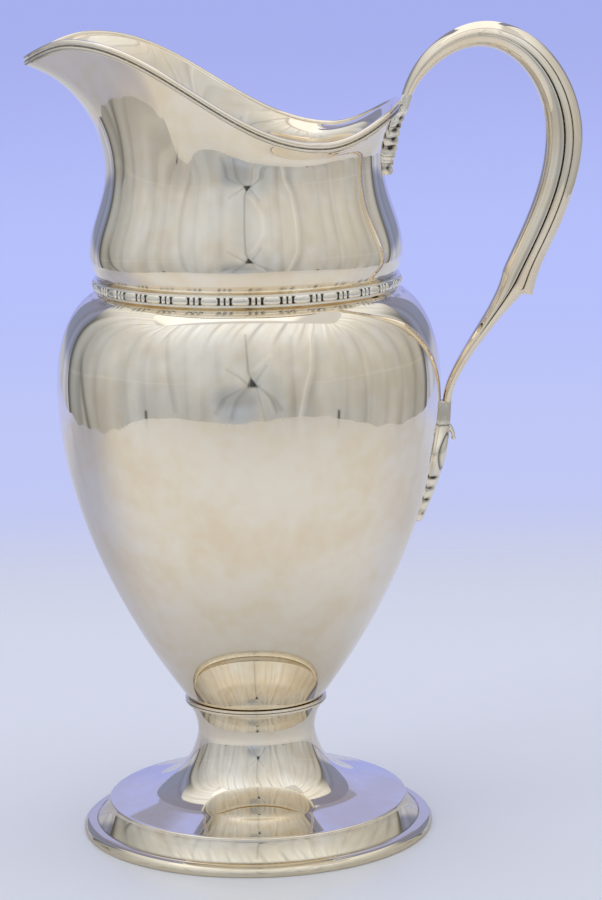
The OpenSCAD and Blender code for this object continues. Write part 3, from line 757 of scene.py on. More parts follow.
@dataclass
class Neck:
    """Neck drawn out into the spout, and the reeded wire around the mouth."""

    body: Body
    plain_h: float = 2.6
    tuck_h: float = 7.3
    bulge_r: float = 53.2
    taper_h: float = 29.0
    waist_r: float = 47.0
    wall: float = 1.2
    spout_reach: float = 72.5
    spout_crest_x: float = 54.0
    rim_dip_x: float = 28.0
    rim_back_x: float = 52.0
    rim_half_w: float = 50.0
    rim_mid_x: float = 5.0
    tip_rise: float = 38.5
    crest_rise: float = 45.0
    dip_rise: float = 11.5
    back_rise: float = 22.0
    spout_point: float = 1.3
    back_square: float = 0.75
    wire_h: float = 3.3
    wire_out: float = 1.0
    wire_back_h: float = 2.2
    tuck_dip: float = 0.4
    tuck_dip_half: float = 2.2
    flare_power: float = 3.4
    flare_front: float = 2.0
    flare_side: float = 2.0
    flare_back: float = 1.4
    spout_turn: float = 0.97
    spout_square: float = 1.9
    joint_tarnish: float = 0.1
    reel_reflection_dark: float = 0.85
    mark_rise: float = 1.6
    mark_half: float = 0.45
    around: int = 320

    @property
    def foot_z(self) -> float:
        """Height of the bottom of the neck."""
        return self.body.lip_z + self.body.lip_h + GAP

    @property
    def waist_z(self) -> float:
        """Height of the waist of the neck."""
        return self.foot_z + self.plain_h + self.tuck_h + self.taper_h

    @property
    def back_z(self) -> float:
        """Height of the rim at the handle."""
        return self.waist_z + self.back_rise

    def mouth(self, t: Array) -> Array:
        """Plan of the mouth: x and y scale as cosine and sine powers that ease from back to spout."""
        back, front = self.rim_back_x - self.rim_mid_x, self.spout_reach + self.rim_mid_x
        reach = mix(back, front, step(-np.cos(t), -0.4, 0.4))
        power = mix(self.back_square, self.spout_point, step(-np.cos(t), 0.0, 0.85))
        x = self.rim_mid_x + np.cos(t) * reach
        y = self.rim_half_w * np.sign(np.sin(t)) * np.abs(np.sin(t)) ** power
        return np.stack([x, y], -1)

    def rim_z(self, x: Array) -> Array:
        """Height of the rim: down to the tip, a half wave to the dip, and a quarter wave up to the back."""
        tip_u = np.clip((-self.spout_crest_x - x) / (self.spout_reach - self.spout_crest_x), 0, 1)
        dip_u = np.clip((x + self.spout_crest_x) / (self.rim_dip_x + self.spout_crest_x), 0, 1)
        back_u = np.clip((x - self.rim_dip_x) / (self.rim_back_x - self.rim_dip_x), 0, 1)
        rise = np.where(
            x < -self.spout_crest_x,
            mix(self.tip_rise, self.crest_rise, np.cos(np.pi / 2 * tip_u)),
            np.where(
                x < self.rim_dip_x,
                mix(self.dip_rise, self.crest_rise, half_wave(dip_u)),
                mix(self.back_rise, self.dip_rise, np.cos(np.pi / 2 * back_u)),
            ),
        )
        return self.waist_z + rise

    def lower_r(self, z: Array) -> Array:
        """Radius below the waist: plain, a quarter wave out to the bulge, a half wave in to the waist."""
        tuck_z = self.foot_z + self.plain_h
        bulge_z = tuck_z + self.tuck_h
        below = np.clip((bulge_z - z) / self.tuck_h, 0, 1)
        tuck = mix(self.body.lip_r, self.bulge_r, np.cos(np.pi / 2 * below))
        taper = mix(self.waist_r, self.bulge_r, half_wave(np.clip((z - bulge_z) / self.taper_h, 0, 1)))
        dip = self.tuck_dip * bump(z, tuck_z - self.tuck_dip, self.tuck_dip_half)
        return np.where(z < bulge_z, tuck - dip, taper)

    def outward(self, t: Array) -> Array:
        """Level unit vectors that point out of the mouth's plan."""
        way = self.mouth(t + 0.002) - self.mouth(t - 0.002)
        return unit(np.stack([way[..., 1], -way[..., 0]], -1))

    def flare(self, t: Array, v: Array) -> Array:
        """Share of the way from the waist to the mouth.

        It grows by a power of v that changes around the neck, and at the spout along a squared circle.

        Args:
            t: Angles, 0 at the handle.
            v: Shares of the height, of the same shape as t.

        Returns:
            Shares from 0 to 1.
        """
        c = np.cos(t)
        back = step(c, 0.6, 0.95)
        power = self.flare_power - self.flare_front * bump(c, -0.36, 0.2)
        power = power + self.flare_side * step(c, -0.1, 0.25) * (1 - back) - self.flare_back * back
        reach = (self.spout_turn * np.stack([v, np.ones_like(v)])) ** self.spout_square
        circle = 1 - (1 - reach) ** (1 / self.spout_square)
        return mix(v**power, circle[0] / circle[1], ((1 - c) / 2) ** 4)

    def upper(self, t: Array, v: Array, inside: float, below: float) -> Array:
        """Points between the waist (v = 0) and the rim (v = 1), where the waist circle moves to the mouth.

        Args:
            t: Angles, 0 at the handle.
            v: Shares of the height, of the same shape as t.
            inside: Distance inside the outer surface.
            below: Depth of the last row below the rim.

        Returns:
            Points in millimetres.
        """
        f = self.flare(t, v)
        plan = self.mouth(t)
        top_z = self.rim_z(plan[..., 0]) - below
        edge = plan - inside * self.outward(t)
        return np.stack([
            mix((self.waist_r - inside) * np.cos(t), edge[..., 0], f),
            mix((self.waist_r - inside) * np.sin(t), edge[..., 1], f),
            mix(self.waist_z, top_z, v),
        ], -1)

    def side(self, t: Array, inside: float, below: float) -> Array:
        """Grid of one side of the neck: turned up to the waist, then drawn out to the mouth, and softened."""
        z = np.linspace(self.foot_z, self.waist_z, 84)[:-1]
        r = self.lower_r(z)[:, None] - inside
        lower = np.stack([r * np.cos(t), r * np.sin(t), z[:, None] + 0 * t], -1)
        v = np.linspace(0, 1, 56)[:, None]
        grid = np.concatenate([lower, self.upper(t + 0 * v, v + 0 * t, inside, below)])
        grid[2:] = soften(grid[2:], 10)
        return grid

    def angles(self) -> Array:
        """Angles around the neck, evenly spaced along the mouth and the waist together."""
        t = np.linspace(0, 2 * np.pi, 4001)
        both = np.concatenate([self.mouth(t), self.waist_r * np.stack([np.cos(t), np.sin(t)], -1)], -1)
        run = np.concatenate([[0], np.cumsum(np.linalg.norm(np.diff(both, axis=0), axis=1))])
        return np.interp(np.linspace(0, run[-1], self.around, endpoint=False), run, t)

    def build(self, shop: Workshop) -> None:
        """Builds the neck and the rim wire and dresses them.

        Args:
            shop: Where the materials are.
        """
        t = self.angles()
        bead = (self.wire_out + self.wall) / 2
        outer = self.side(t, 0.0, self.wire_h + GAP)
        inner = self.side(t, self.wall + 0.04, bead)
        hidden = mix(outer[-1], inner[-1], 0.5)
        grid = np.concatenate([outer, hidden[None], inner[::-1]])
        tarnish_shade_mask = np.zeros(grid.shape[:2])
        above = outer[..., 2] - self.body.lip_z - self.body.band_h - GAP
        # Painted reflections of the band's reel slits: dark ticks on the neck just above the band.
        reflected_slits = self.reel_reflection_dark * bump(above, self.mark_rise, self.mark_half) * self.body.reel_reflections(t)
        tarnish_shade_mask[: len(outer)] = self.joint_tarnish * bump(above, 0, 0.5) + reflected_slits
        shop.mount(Shell("neck_and_spout", grid, Ends.JOINED, tarnish_shade_mask).piece(), Slot.BODY, "neck")
        self._wire(shop)

    def _wire(self, shop: Workshop) -> None:
        """Carries the section of the rim wire, a round bead over a thin one, around the mouth."""
        t = np.linspace(0, 2 * np.pi, 8001)
        plan = self.mouth(t)
        path = even(np.concatenate([plan, self.rim_z(plan[:, 0])[:, None]], -1), 641)[:-1]
        way = np.roll(path, -1, 0) - np.roll(path, 1, 0)
        out = unit(np.stack([way[:, 1], -way[:, 0]], -1))
        bead = (self.wire_out + self.wall) / 2
        reed = (self.wire_h - 2 * bead) / 2
        low = arc((self.wire_out - reed, reed - self.wire_h), reed, -90, 70, 10)
        high = arc((self.wire_out - bead, -bead), bead, -52, 180, 24)
        section = np.concatenate([[(-self.wall, -self.wire_h)], low, high, [(-self.wall, -self.wire_back_h)]])
        side, up = section[:, :1], section[:, 1:]
        grid = np.stack([
            path[:, 0] + side * out[:, 0], path[:, 1] + side * out[:, 1], path[:, 2] + up
        ], -1)
        groove = bump(section[:, 1], -2 * bead + 0.06, 0.24) + 0.8 * bump(section[:, 1], -self.wire_h, 0.2)
        groove = np.minimum(groove, 1) * (section[:, 0] > 0)
        tarnish_shade_mask = np.repeat(groove[:, None], len(path), 1)
        shop.mount(Shell("rim_reeds", grid, Ends.JOINED, tarnish_shade_mask).piece(), Slot.WIRE, "rim_wire")


@dataclass
class Handle:
    """Looped handle with its spur, and the two cast leaves that carry it."""

    neck: Neck
    top_x: float = 80.5
    top_rise: float = 21.0
    side_x: float = 107.6
    side_drop: float = 34.5
    spur_x: float = 91.5
    spur_drop: float = 47.5
    thick: tuple[float, ...] = (3.8, 8.5, 12.7, 10.8, 3.2)
    end_w: float = 5.6
    side_w: float = 11.0
    spur_out: float = 2.6
    spur_u: float = 3.04
    spur_swell: float = 0.3
    spur_drop_run: float = 0.07
    spur_droop: float = 1.6
    spur_powers: Pair = (2.4, 1.4)
    groove_d: float = 0.5
    groove_tarnish: float = 1.15
    grooves: Pair = (63.0, 90.0)
    groove_half: Pair = (2.1, 2.7)
    upper_leaf_l: float = 22.0
    upper_leaf_w: float = 3.4
    upper_leaf_t: float = 3.4
    lower_leaf_span: Pair = (0.595, 0.945)
    lower_leaf_w: float = 8.6
    lower_leaf_t: float = 4.0
    lower_boss_t: float = 3.7
    pulls: tuple[Pair, ...] = (
        (3.7, 10.3), (11.0, 0.0), (14.5, 0.0), (0.0, 19.0),
        (0.0, 17.0), (6.5, 13.5), (5.2, 10.8), (0.5, 12.0),
    )
    edge_angle: float = 146.0
    edge_half: float = 3.0
    edge_share: float = 0.45
    bevel: Pair = (1.35, 0.75)
    upper_shaded_hollows: tuple[tuple[float, float, float], ...] = (
        (0.11, 0.75, 0.9), (0.41, 0.8, 1.0), (0.54, 0.72, 0.8),
        (0.68, 0.76, 1.0), (0.75, 0.6, 0.9), (0.86, 0.6, 0.8),
    )
    hole_half: Pair = (0.042, 0.22)
    upper_creases: tuple[float, ...] = (0.17, 0.28, 0.44, 0.56, 0.73)
    crease_half: float = 0.009
    pearl_count: int = 9
    pearl_at: float = 0.36
    pearl_half: float = 0.17
    lobe_at: Pair = (0.6, 0.56)
    lobe_half: Pair = (0.145, 0.34)
    husk_step: float = 0.095
    lower_spots: tuple[tuple[float, float, float], ...] = (
        (0.38, 0.9, 1.0), (0.29, 0.9, 0.8), (0.19, 0.88, 0.9), (0.07, 0.8, 0.7),
    )
    spot_half: Pair = (0.016, 0.2)
    leaf_bed: float = 0.3
    curl_line: tuple[Pair, ...] = ((65.8, 142.0), (68.2, 141.0), (70.0, 138.6), (69.6, 135.8))

    @property
    def boss(self) -> Pair:
        """Distance from the axis and height of the top face of the upper leaf."""
        return self.neck.rim_back_x + self.neck.wire_out + 0.2, self.neck.back_z + 1.2

    def curves(self) -> list[Array]:
        """Four cubic curves of the centre line, from the rim over the top, the side and the spur."""
        boss_x, boss_z = self.boss
        foot = bezier(self.neck.body.curve, np.array([self.lower_leaf_span[1]]))[0]
        start = np.array([boss_x + self.thick[0] / 2, boss_z])
        top = np.array([self.top_x, self.neck.back_z + self.top_rise])
        side = np.array([self.side_x, top[1] - self.side_drop])
        spur = np.array([self.spur_x, side[1] - self.spur_drop])
        end = np.array([foot[0] + self.lower_boss_t - self.thick[-1] / 2, foot[1]])
        pulls = np.array(self.pulls)
        return [
            np.array([start, start + pulls[0], top - pulls[1], top]),
            np.array([top, top + pulls[2], side + pulls[3], side]),
            np.array([side, side - pulls[4], spur + pulls[5], spur]),
            np.array([spur, spur - pulls[6], end + pulls[7], end]),
        ]

    def build(self, shop: Workshop) -> None:
        """Builds the handle and its leaves and dresses them.

        Args:
            shop: Where the materials are.
        """
        self._loop(shop)
        self._upper_leaf(shop)
        self._lower_leaf(shop)

    def _loop(self, shop: Workshop) -> None:
        """Carries a grooved oval section along the centre line.

        The section is thick across the loop and wide along Y, and its outer side is a bevel, a power
        of the sine that is greatest at the top. Grooves are narrow dips in the width.
        """
        curves = self.curves()
        u = np.concatenate([
            np.linspace(0, 2.85, 300, endpoint=False),
            np.linspace(2.85, 3.3, 110, endpoint=False),
            np.linspace(3.3, 4, 80),
        ])
        middle = np.concatenate([
            bezier(curve, u[(u >= i) & ((u < i + 1) | (i == 3))] - i) for i, curve in enumerate(curves)
        ])
        way = direction(middle)
        first, last = bump(u, 0, 0.25)[:, None], bump(u, 4, 0.25)[:, None]
        across = np.stack([-way[:, 1], way[:, 0]], -1) * (1 - first) * (1 - last)
        across = unit(across + np.concatenate([last - first, 0 * first], -1))
        steps = np.interp(u, range(4), self.thick[:4])
        tail = mix(self.thick[4], self.thick[3], (4 - u) ** 3)
        thick = soften(np.where(u < 3, steps, tail), 120)[:, None]
        wide = mix(self.end_w, self.side_w, np.sin(np.pi * u / 4))[:, None]
        rise = np.clip(1 - (self.spur_u - u) / self.spur_swell, 0, 1) ** self.spur_powers[0]
        fall = np.clip(1 - (u - self.spur_u) / self.spur_drop_run, 0, 1) ** self.spur_powers[1]
        spur = soften(np.where(u < self.spur_u, rise, fall)[:, None], 2)
        near = self._section_angles()
        a = np.radians(near)
        groove = self._groove_depth(near, u)
        outward = np.maximum(np.cos(a), 0)
        s = thick / 2 * np.cos(a) + self.spur_out * spur * outward
        droop = self.spur_droop * spur * outward
        bevel = self.bevel[0] + self.bevel[1] * bump(u, 0.85, 0.6)[:, None]
        y = (wide / 2) * np.abs(np.sin(a)) ** np.where(np.cos(a) > 0, bevel, 0.9)
        y = np.sign(np.sin(a)) * np.maximum(y - groove * self.groove_d, 0)
        grid = np.stack([
            middle[:, :1] + s * across[:, :1] + droop * way[:, :1], y,
            middle[:, 1:] + s * across[:, 1:] + droop * way[:, 1:],
        ], -1)
        tarnish_shade_mask = np.clip(groove * self.groove_tarnish, 0, 1)
        piece = Shell("handle_loop", grid, Ends.CAPPED, tarnish_shade_mask).piece()
        shop.mount(piece, Slot.HANDLE, "handle_near_half", "handle_far_half")

    def _section_angles(self) -> Array:
        """Angles around the section in degrees, closer together at the grooves."""
        fine = np.linspace(0, 180, 1801)
        at_grooves = bump(fine, self.grooves[0], 6) + bump(fine, self.grooves[1], 6)
        weight = 1 + 5 * at_grooves + 3 * bump(fine, self.edge_angle, 7)
        run = np.concatenate([[0], np.cumsum(weight[:-1])])
        half = np.interp(np.linspace(0, run[-1], 53), run, fine)
        return np.concatenate([half, 360 - half[-2:0:-1]])

    def _groove_depth(self, angle: Array, u: Array) -> Array:
        """Depth from 0 to 1 of the two grooves and of a shallow line near the inner edge."""
        a = np.where(angle > 180, 360 - angle, angle)
        start = (0.3 * step(u, 0.2, 0.8) + 0.7 * step(u, 1.0, 1.8))[:, None]
        outer_end = 1 - step(u, self.spur_u - 0.01, self.spur_u + 0.04)[:, None]
        inner_end = 1 - step(u, 3.3, 3.55)[:, None]
        edge_end = 1 - step(u, 2.7, 3.0)[:, None]
        edge = self.edge_share * bump(a, self.edge_angle, self.edge_half) * edge_end
        outer = 0.8 * bump(a, self.grooves[0], self.groove_half[0]) * outer_end
        inner = bump(a, self.grooves[1], self.groove_half[1]) * inner_end
        return (outer + inner + edge) * start

    @staticmethod
    def _spots(
        s: Array, u: Array, places: tuple[tuple[float, float, float], ...], half: Pair
    ) -> Array:
        """Soft round spots on both sides of a leaf.

        Args:
            s: Places from tip to top.
            u: Places across, from -1 to 1.
            places: Spots as place along, place across and strength.
            half: Half sizes along and across.

        Returns:
            The strongest spot at each place.
        """
        return np.max([
            k * bump(s, along, half[0]) * bump(np.abs(u), across, half[1]) for along, across, k in places
        ], axis=0)

    @staticmethod
    def _leaf_shell(name: str, outer: Array, back: Array, tarnish_shade_mask: Array) -> Shell:
        """Closes a leaf: each row runs across the carved face and returns along the back."""
        grid = np.concatenate([outer, back[:, ::-1]], 1)
        depth = np.concatenate([tarnish_shade_mask, np.zeros_like(tarnish_shade_mask)], 1)
        return Shell(name, grid, Ends.CAPPED, depth)

    def _upper_leaf(self, shop: Workshop) -> None:
        """Carves the leaf under the rim, laid on the back of the neck and drawn up into the handle.

        Pearls run along both sides of its crest, and deep hollows lie below them, made to look pierced by
        tarnish and painted shade.
        """
        neck = self.neck
        boss_x, boss_z = self.boss
        top_z = neck.back_z - neck.wire_h - GAP
        low_z = top_z - self.upper_leaf_l
        s = np.linspace(0, 1, 170)[:, None]
        u = np.linspace(-1, 1, 71)[None]
        z = mix(low_z, boss_z + 0.1, s)
        on_neck = np.clip((z - low_z) / (top_z - low_z), 0, 1)
        joined = step(z, top_z - 2.0, top_z + 0.8)
        lobed = self.upper_leaf_w - 0.5 * np.abs(np.cos(np.pi * 4.5 * on_neck)) ** 3
        half_w = mix(lobed, self.end_w / 2, joined)
        y = half_w * u
        v = np.clip((z - neck.waist_z) / (top_z - neck.waist_z), 0, 1)
        flare = (neck.rim_back_x - neck.waist_r) * v * v
        neck_r = np.where(z < neck.waist_z, neck.lower_r(z), neck.waist_r)
        round_x = np.sqrt(np.maximum(neck_r**2 - y**2, 1))
        taper = step(z, boss_z - 1.2, boss_z + 0.1)
        base = mix(round_x + flare, boss_x, joined) + 0.7 * taper
        full = self.upper_leaf_t - 0.9 * bump(on_neck, 0, 0.22) + 0.5 * bump(on_neck, 0.45, 0.2)
        full = mix(full, self.thick[0] - 0.3 * np.maximum(boss_z - z, 0), joined)
        full = full - taper
        fade = 1 - joined
        shaded_hollows = self._spots(on_neck, u, self.upper_shaded_hollows, self.hole_half) * fade
        creases = sum(bump(on_neck, at, self.crease_half) for at in self.upper_creases) * 0.55 * fade
        pearls = np.abs(np.sin(np.pi * self.pearl_count * on_neck)) * fade
        pearls = pearls * bump(np.abs(u), self.pearl_at, self.pearl_half)
        swell = mix(0.5, full, (1 - np.abs(u) ** 3) ** 0.6) + 0.45 * pearls - 1.1 * shaded_hollows - 0.4 * creases
        outer = np.stack([base + np.maximum(swell, self.leaf_bed), y + 0 * z, z + 0 * u], -1)
        back = np.stack([base - self.leaf_bed, y + 0 * z, z + 0 * u], -1)
        # Tarnish and painted shade darken the hollows and the creases.
        shell = self._leaf_shell("upper_leaf_carved", outer, back, np.clip(1.2 * shaded_hollows + creases, 0, 1))
        shop.mount(shell.piece(), Slot.CAST, "upper_leaf")

    def _lower_leaf(self, shop: Workshop) -> None:
        """Carves the leaf on the bowl.

        An oval lobe, outlined in tarnish and painted shade, lies on each side below the stem, then comes
        a tapering husk in segments.
        """
        low, high = self.lower_leaf_span
        s = np.linspace(0, 1, 220)[:, None]
        u = np.linspace(-1, 1, 71)[None]
        on_bowl = bezier(self.neck.body.curve, mix(low, high, s[:, 0]))
        r, z = on_bowl[:, :1], on_bowl[:, 1:]
        stem_w = self.end_w / 2
        lobed = stem_w + (self.lower_leaf_w - stem_w) * bump(s, 0.58, 0.17) - bump(s, 0, 0.1)
        husk = 1 - step(s, 0.4, 0.46)
        segment = 1 - np.abs(np.sin(np.pi * s / self.husk_step)) ** 0.5
        half_w = lobed * (1 - 0.16 * segment * husk)
        full = self.lower_leaf_t * mix(0.5, 1, np.minimum(1, s / 0.5)) - 0.4 * bump(s, 1, 0.2)
        fade = 1 - step(s, 0.8, 0.86)
        lobe_s = (s - self.lobe_at[0]) / self.lobe_half[0]
        lobe_u = (np.abs(u) - self.lobe_at[1]) / self.lobe_half[1]
        ring = np.sqrt(lobe_s**2 + lobe_u**2)
        outline = bump(ring, 1.0, 0.13)
        spots = self._spots(s, u, self.lower_spots, self.spot_half)
        crease = bump(segment, 1.0, 0.22) * husk
        top = bump(s, 0.81, 0.008)
        stem = step(s, 0.82, 0.86)
        # Tarnish and painted shade in the outlines, spots, creases and top line; painted shade on the stem.
        dark = np.clip(0.75 * outline + spots + 0.6 * crease + 0.7 * top + 0.25 * stem, 0, 1)
        lobe = 0.35 * np.clip(1 - ring**2, 0, 1)
        carved = (lobe - 0.4 * outline - 0.5 * spots - 0.35 * crease) * fade - 0.3 * top
        swell = mix(0.4, full, (1 - np.abs(u) ** 2.6) ** 0.6) + carved
        t = np.arcsin(half_w * u / r)
        outer, back = (
            np.stack([to * np.cos(t), to * np.sin(t), z + 0 * u], -1)
            for to in (r + np.maximum(swell, self.leaf_bed), r - self.leaf_bed)
        )
        shell = self._leaf_shell("lower_leaf_carved", outer, back, dark)
        shop.mount(shell.piece(), Slot.CAST, "lower_leaf")
        self._curl(shop)

    def _curl(self, shop: Workshop) -> None:
        """Turns a small tapering curl outwards over the lobes of the lower leaf."""
        along = np.linspace(0, 1, 40)
        middle = bezier(self.curl_line, along)
        way = direction(middle)
        a = np.linspace(0, 2 * np.pi, 24, endpoint=False)
        r = 1.25 - 0.75 * along + 0.35 * bump(along, 0.96, 0.06)
        r = (r * np.sqrt(np.minimum(1, (1.02 - along) / 0.06)))[:, None]
        grid = np.stack([
            middle[:, :1] - r * np.cos(a) * way[:, 1:],
            1.5 * r * np.sin(a),
            middle[:, 1:] + r * np.cos(a) * way[:, :1],
        ], -1)
        shop.mount(Shell("lower_leaf_curl", grid, Ends.CAPPED).piece(), Slot.CAST)


@dataclass(frozen=True)
class Fold:
    """A fold of the cloth, painted as light and shade: a soft ridge or crease with a steep and a gentle side.

    Its line is given by heights in metres and angles in degrees, its two widths in degrees, and its
    depth is how much lighter or darker it is.
    """

    heights: tuple[float, ...]
    angles: tuple[float, ...]
    widths: Pair
    depth: float

    def shade(self, angle: Array, z: Array) -> Array:
        """Change of light at each place, which fades out past both ends of the line.

        Args:
            angle: Degrees from the camera side.
            z: Heights in metres.

        Returns:
            Values to add to the light of the cloth.
        """
        off = angle - np.interp(z, self.heights, self.angles)
        wide = np.where(off < 0, *self.widths)
        low, high = self.heights[0], self.heights[-1]
        ends = step(z, low - 0.03, low) * (1 - step(z, high, high + 0.04))
        return self.depth * bump(off, 0, wide) * ends


@dataclass
class Studio:
    """Pale table, backdrop glow, white drape for the reflections, lamps and the camera.

    Lengths are metres here. Angles around the drape are degrees from the camera side, and the
    camera's four angles, in degrees, are its place around the ewer, then yaw, pitch and roll.
    """

    drape_end: float = 130.0
    drape_spread: float = 18.0
    screen_end: float = 158.0
    drape_top: float = 1.2
    drape_opening: Pair = (0.76, 0.2)
    glow_box: tuple[float, float, float, float] = (-0.75, 0.37, -0.1, 0.8)
    knot_z: float = 0.265
    knot_h: float = 0.08
    knot_shade: float = 0.85
    gather_light: float = 0.22
    wrinkle_light: float = 0.03
    band_light: float = 0.07
    tick_angles: Pair = (-58.5, 54.0)
    seam: tuple[tuple[float, ...], tuple[float, ...]] = (
        (0.05, 0.1, 0.2, 0.26, 0.3, 0.4, 0.5, 0.7), (10.5, 10.0, 8.5, 6.0, 4.0, 2.0, 0.5, 0.0)
    )
    folds: tuple[Fold, ...] = (
        Fold((0.0, 0.26), (11.0, 6.0), (0.5, 0.7), -0.12),
        Fold((0.28, 0.4, 0.9), (5.0, 2.0, 0.0), (0.6, 0.6), -0.32),
        Fold((0.28, 0.41), (2.0, -10.0), (0.6, 1.6), -0.16),
        Fold((0.29, 0.36), (0.0, -4.0), (0.5, 1.2), -0.1),
        Fold((0.3, 0.46), (6.0, 12.0), (1.4, 0.6), -0.16),
        Fold((0.42, 0.6), (5.0, 14.0), (1.6, 1.6), 0.1),
        Fold((0.5, 0.9), (13.0, 15.0), (2.0, 3.0), 0.05),
        Fold((0.28, 0.9), (4.0, 0.0), (5.0, 5.0), -0.08),
        Fold((0.06, 0.16, 0.26), (-17.0, -12.0, 1.0), (0.9, 3.0), -0.15),
        Fold((0.04, 0.15, 0.26), (-8.0, -5.0, 2.0), (0.6, 2.4), -0.17),
        Fold((0.06, 0.16, 0.26), (-13.0, -9.0, 1.5), (0.8, 0.8), 0.07),
        Fold((0.06, 0.16, 0.26), (21.0, 16.0, 8.0), (3.0, 0.8), -0.14),
        Fold((0.05, 0.15, 0.26), (15.0, 12.5, 8.0), (0.8, 1.2), 0.09),
        Fold((0.05, 0.15, 0.26), (17.5, 14.5, 8.0), (0.5, 0.5), -0.17),
        Fold((0.0, 0.2, 0.4, 0.9), (31.0, 33.5, 37.0, 39.0), (1.0, 0.7), 0.17),
        Fold((0.0, 0.2, 0.4, 0.9), (34.0, 36.8, 40.5, 42.5), (1.0, 3.0), -0.14),
        Fold((0.0, 0.4, 0.9), (28.5, 27.0, 26.0), (3.0, 0.7), -0.1),
        Fold((0.3, 0.9), (20.0, 19.0), (1.0, 0.6), -0.04),
        Fold((0.05, 0.3, 0.9), (-41.0, -44.0, -50.0), (0.5, 3.0), -0.1),
        Fold((0.05, 0.3, 0.9), (-37.0, -40.0, -46.0), (1.5, 2.0), 0.05),
        Fold((0.0, 0.9), (-33.0, -35.0), (0.6, 1.5), -0.05),
        Fold((0.0, 0.9), (-26.0, -24.0), (1.4, 0.8), 0.04),
        Fold((0.3, 0.9), (-15.0, -17.0), (0.7, 2.5), -0.05),
        Fold((0.0, 0.9), (-58.0, -62.0), (2.5, 0.6), -0.06),
        Fold((0.0, 0.9), (-64.0, -69.0), (2.0, 2.0), 0.04),
        Fold((0.0, 0.9), (-70.0, -76.0), (3.5, 0.8), -0.07),
        Fold((0.0, 0.9), (-82.0, -90.0), (4.0, 3.0), 0.05),
        Fold((0.0, 0.9), (-95.0, -102.0), (4.0, 1.2), -0.09),
        Fold((0.0, 0.9), (-112.0, -116.0), (3.0, 1.0), -0.1),
        Fold((0.0, 0.9), (48.0, 52.0), (2.5, 2.5), 0.04),
        Fold((0.0, 0.9), (58.0, 63.0), (0.7, 3.0), -0.07),
        Fold((0.0, 0.3, 0.9), (72.0, 71.5, 77.0), (2.4, 0.8), -0.12),
        Fold((0.0, 0.9), (76.5, 82.0), (1.0, 2.5), 0.05),
        Fold((0.0, 0.9), (86.0, 93.0), (1.0, 4.0), -0.07),
        Fold((0.0, 0.9), (100.0, 107.0), (3.0, 1.2), -0.1),
        Fold((0.0, 0.9), (113.0, 118.0), (1.0, 3.0), -0.1),
    )
    cloth: Colour = (0.61, 0.63, 0.65)
    mirrored_front_table: Colour = (0.87, 0.865, 0.855)
    mirrored_left_table: Colour = (0.56, 0.58, 0.72)
    mirrored_right_table: Colour = (0.78, 0.8, 0.88)
    table: Colour = (0.77, 0.8, 0.88)
    surround: Colour = (0.335, 0.345, 0.5)
    screen: tuple[Colour, Colour, Colour] = ((0.5, 0.53, 0.66), (0.245, 0.28, 0.43), (0.26, 0.27, 0.4))
    sky: tuple[tuple[float, Colour], ...] = (
        (-0.33, (0.565, 0.59, 0.665)),
        (-0.25, (0.597, 0.617, 0.752)),
        (-0.19, (0.527, 0.578, 0.922)),
        (-0.13, (0.474, 0.533, 0.965)),
        (-0.04, (0.386, 0.434, 0.855)),
        (0.25, (0.44, 0.485, 0.88)),
    )
    diffuse: Colour = (0.68, 0.68, 0.68)
    sweep: tuple[Pair, Pair] = ((0.8, 0.93), (0.475, 0.455))
    panel: tuple[Pair, Pair] = ((0.966, 0.974), (0.72, 0.66))
    table_half: float = 3.0
    table_rough: float = 0.28
    table_gloss: float = 0.35
    foot_r: float = 0.87
    foot_in: float = 0.36
    foot_wave: float = 0.085
    wall_r: float = 0.6
    lean_power: float = 2.2
    left_hollow_shade: tuple[Colour, Colour] = ((0.73, 0.77, 0.84), (0.9, 0.98, 1.16))
    right_tint: Colour = (0.92, 0.97, 1.03)
    warmth: Colour = (0.01, -0.01, -0.04)
    ceiling_x: Pair = (-1.1, 1.1)
    ceiling_y: Pair = (-0.7, 1.0)
    ceiling_z: float = 1.3
    ceiling_light: Pair = (0.7, 1.2)
    ceiling_tint: Colour = (0.97, 0.98, 1.0)
    lamps: tuple[tuple[str, Place, Pair, float], ...] = (
        ("panel", (0.0, 0.1, 1.3), (1.3, 0.9), 4.6),
        ("fill", (-0.9, -0.6, 0.9), (0.4, 0.4), 1.5),
    )
    lamp_aim: Place = (0.0, 0.0, 0.12)
    camera_turns: tuple[float, float, float, float] = (2.5, -0.995, -10.88, -1.05)
    camera_away: float = 0.9973
    camera_z: float = 0.3243
    lens_mm: float = 118.2
    sensor_mm: float = 36.0

    def build(self) -> None:
        """Builds the stage in order."""
        self._world()
        self._table()
        self._drape()
        self._ceiling()
        self._lamps()
        self._camera()

    def _world(self) -> None:
        """World light: the backdrop's glow for what is seen or mirrored, plain grey for diffuse light."""
        world = bpy.data.worlds.new("studio")
        bpy.context.scene.world = world
        world.use_nodes = True
        g = Graph(world.node_tree)
        x, y, way = g.add("SeparateXYZ", {0: g.add("TexCoord").outputs["Generated"]}).outputs
        glow: object = (*self.sky[0][1], 1)
        for (low, _), (high, colour) in zip(self.sky, self.sky[1:]):
            glow = g.blend(g.span(way, low, high), glow, (*colour, 1))
        flat = g.math("SQRT", g.math("ADD", g.math("MULTIPLY", x, x), g.math("MULTIPLY", y, y)))
        straight = g.math("DIVIDE", y, g.math("MAXIMUM", flat, 0.001))
        sweep, panel = (
            g.math("MULTIPLY", g.span(straight, *edge), g.span(way, *top))
            for edge, top in (self.sweep, self.panel)
        )
        behind = g.math("MAXIMUM", sweep, panel)
        low = g.span(way, -0.02, -0.12)
        mirrored = g.blend(g.math("MAXIMUM", behind, low), (*self.surround, 1), glow)
        path = g.add("LightPath")
        colour = g.blend(path.outputs["Is Glossy Ray"], (*self.diffuse, 1), mirrored)
        colour = g.blend(path.outputs["Is Camera Ray"], colour, glow)
        g.add("OutputWorld", {"Surface": g.add("Background", {"Color": colour, "Strength": 1.0}).outputs[0]})

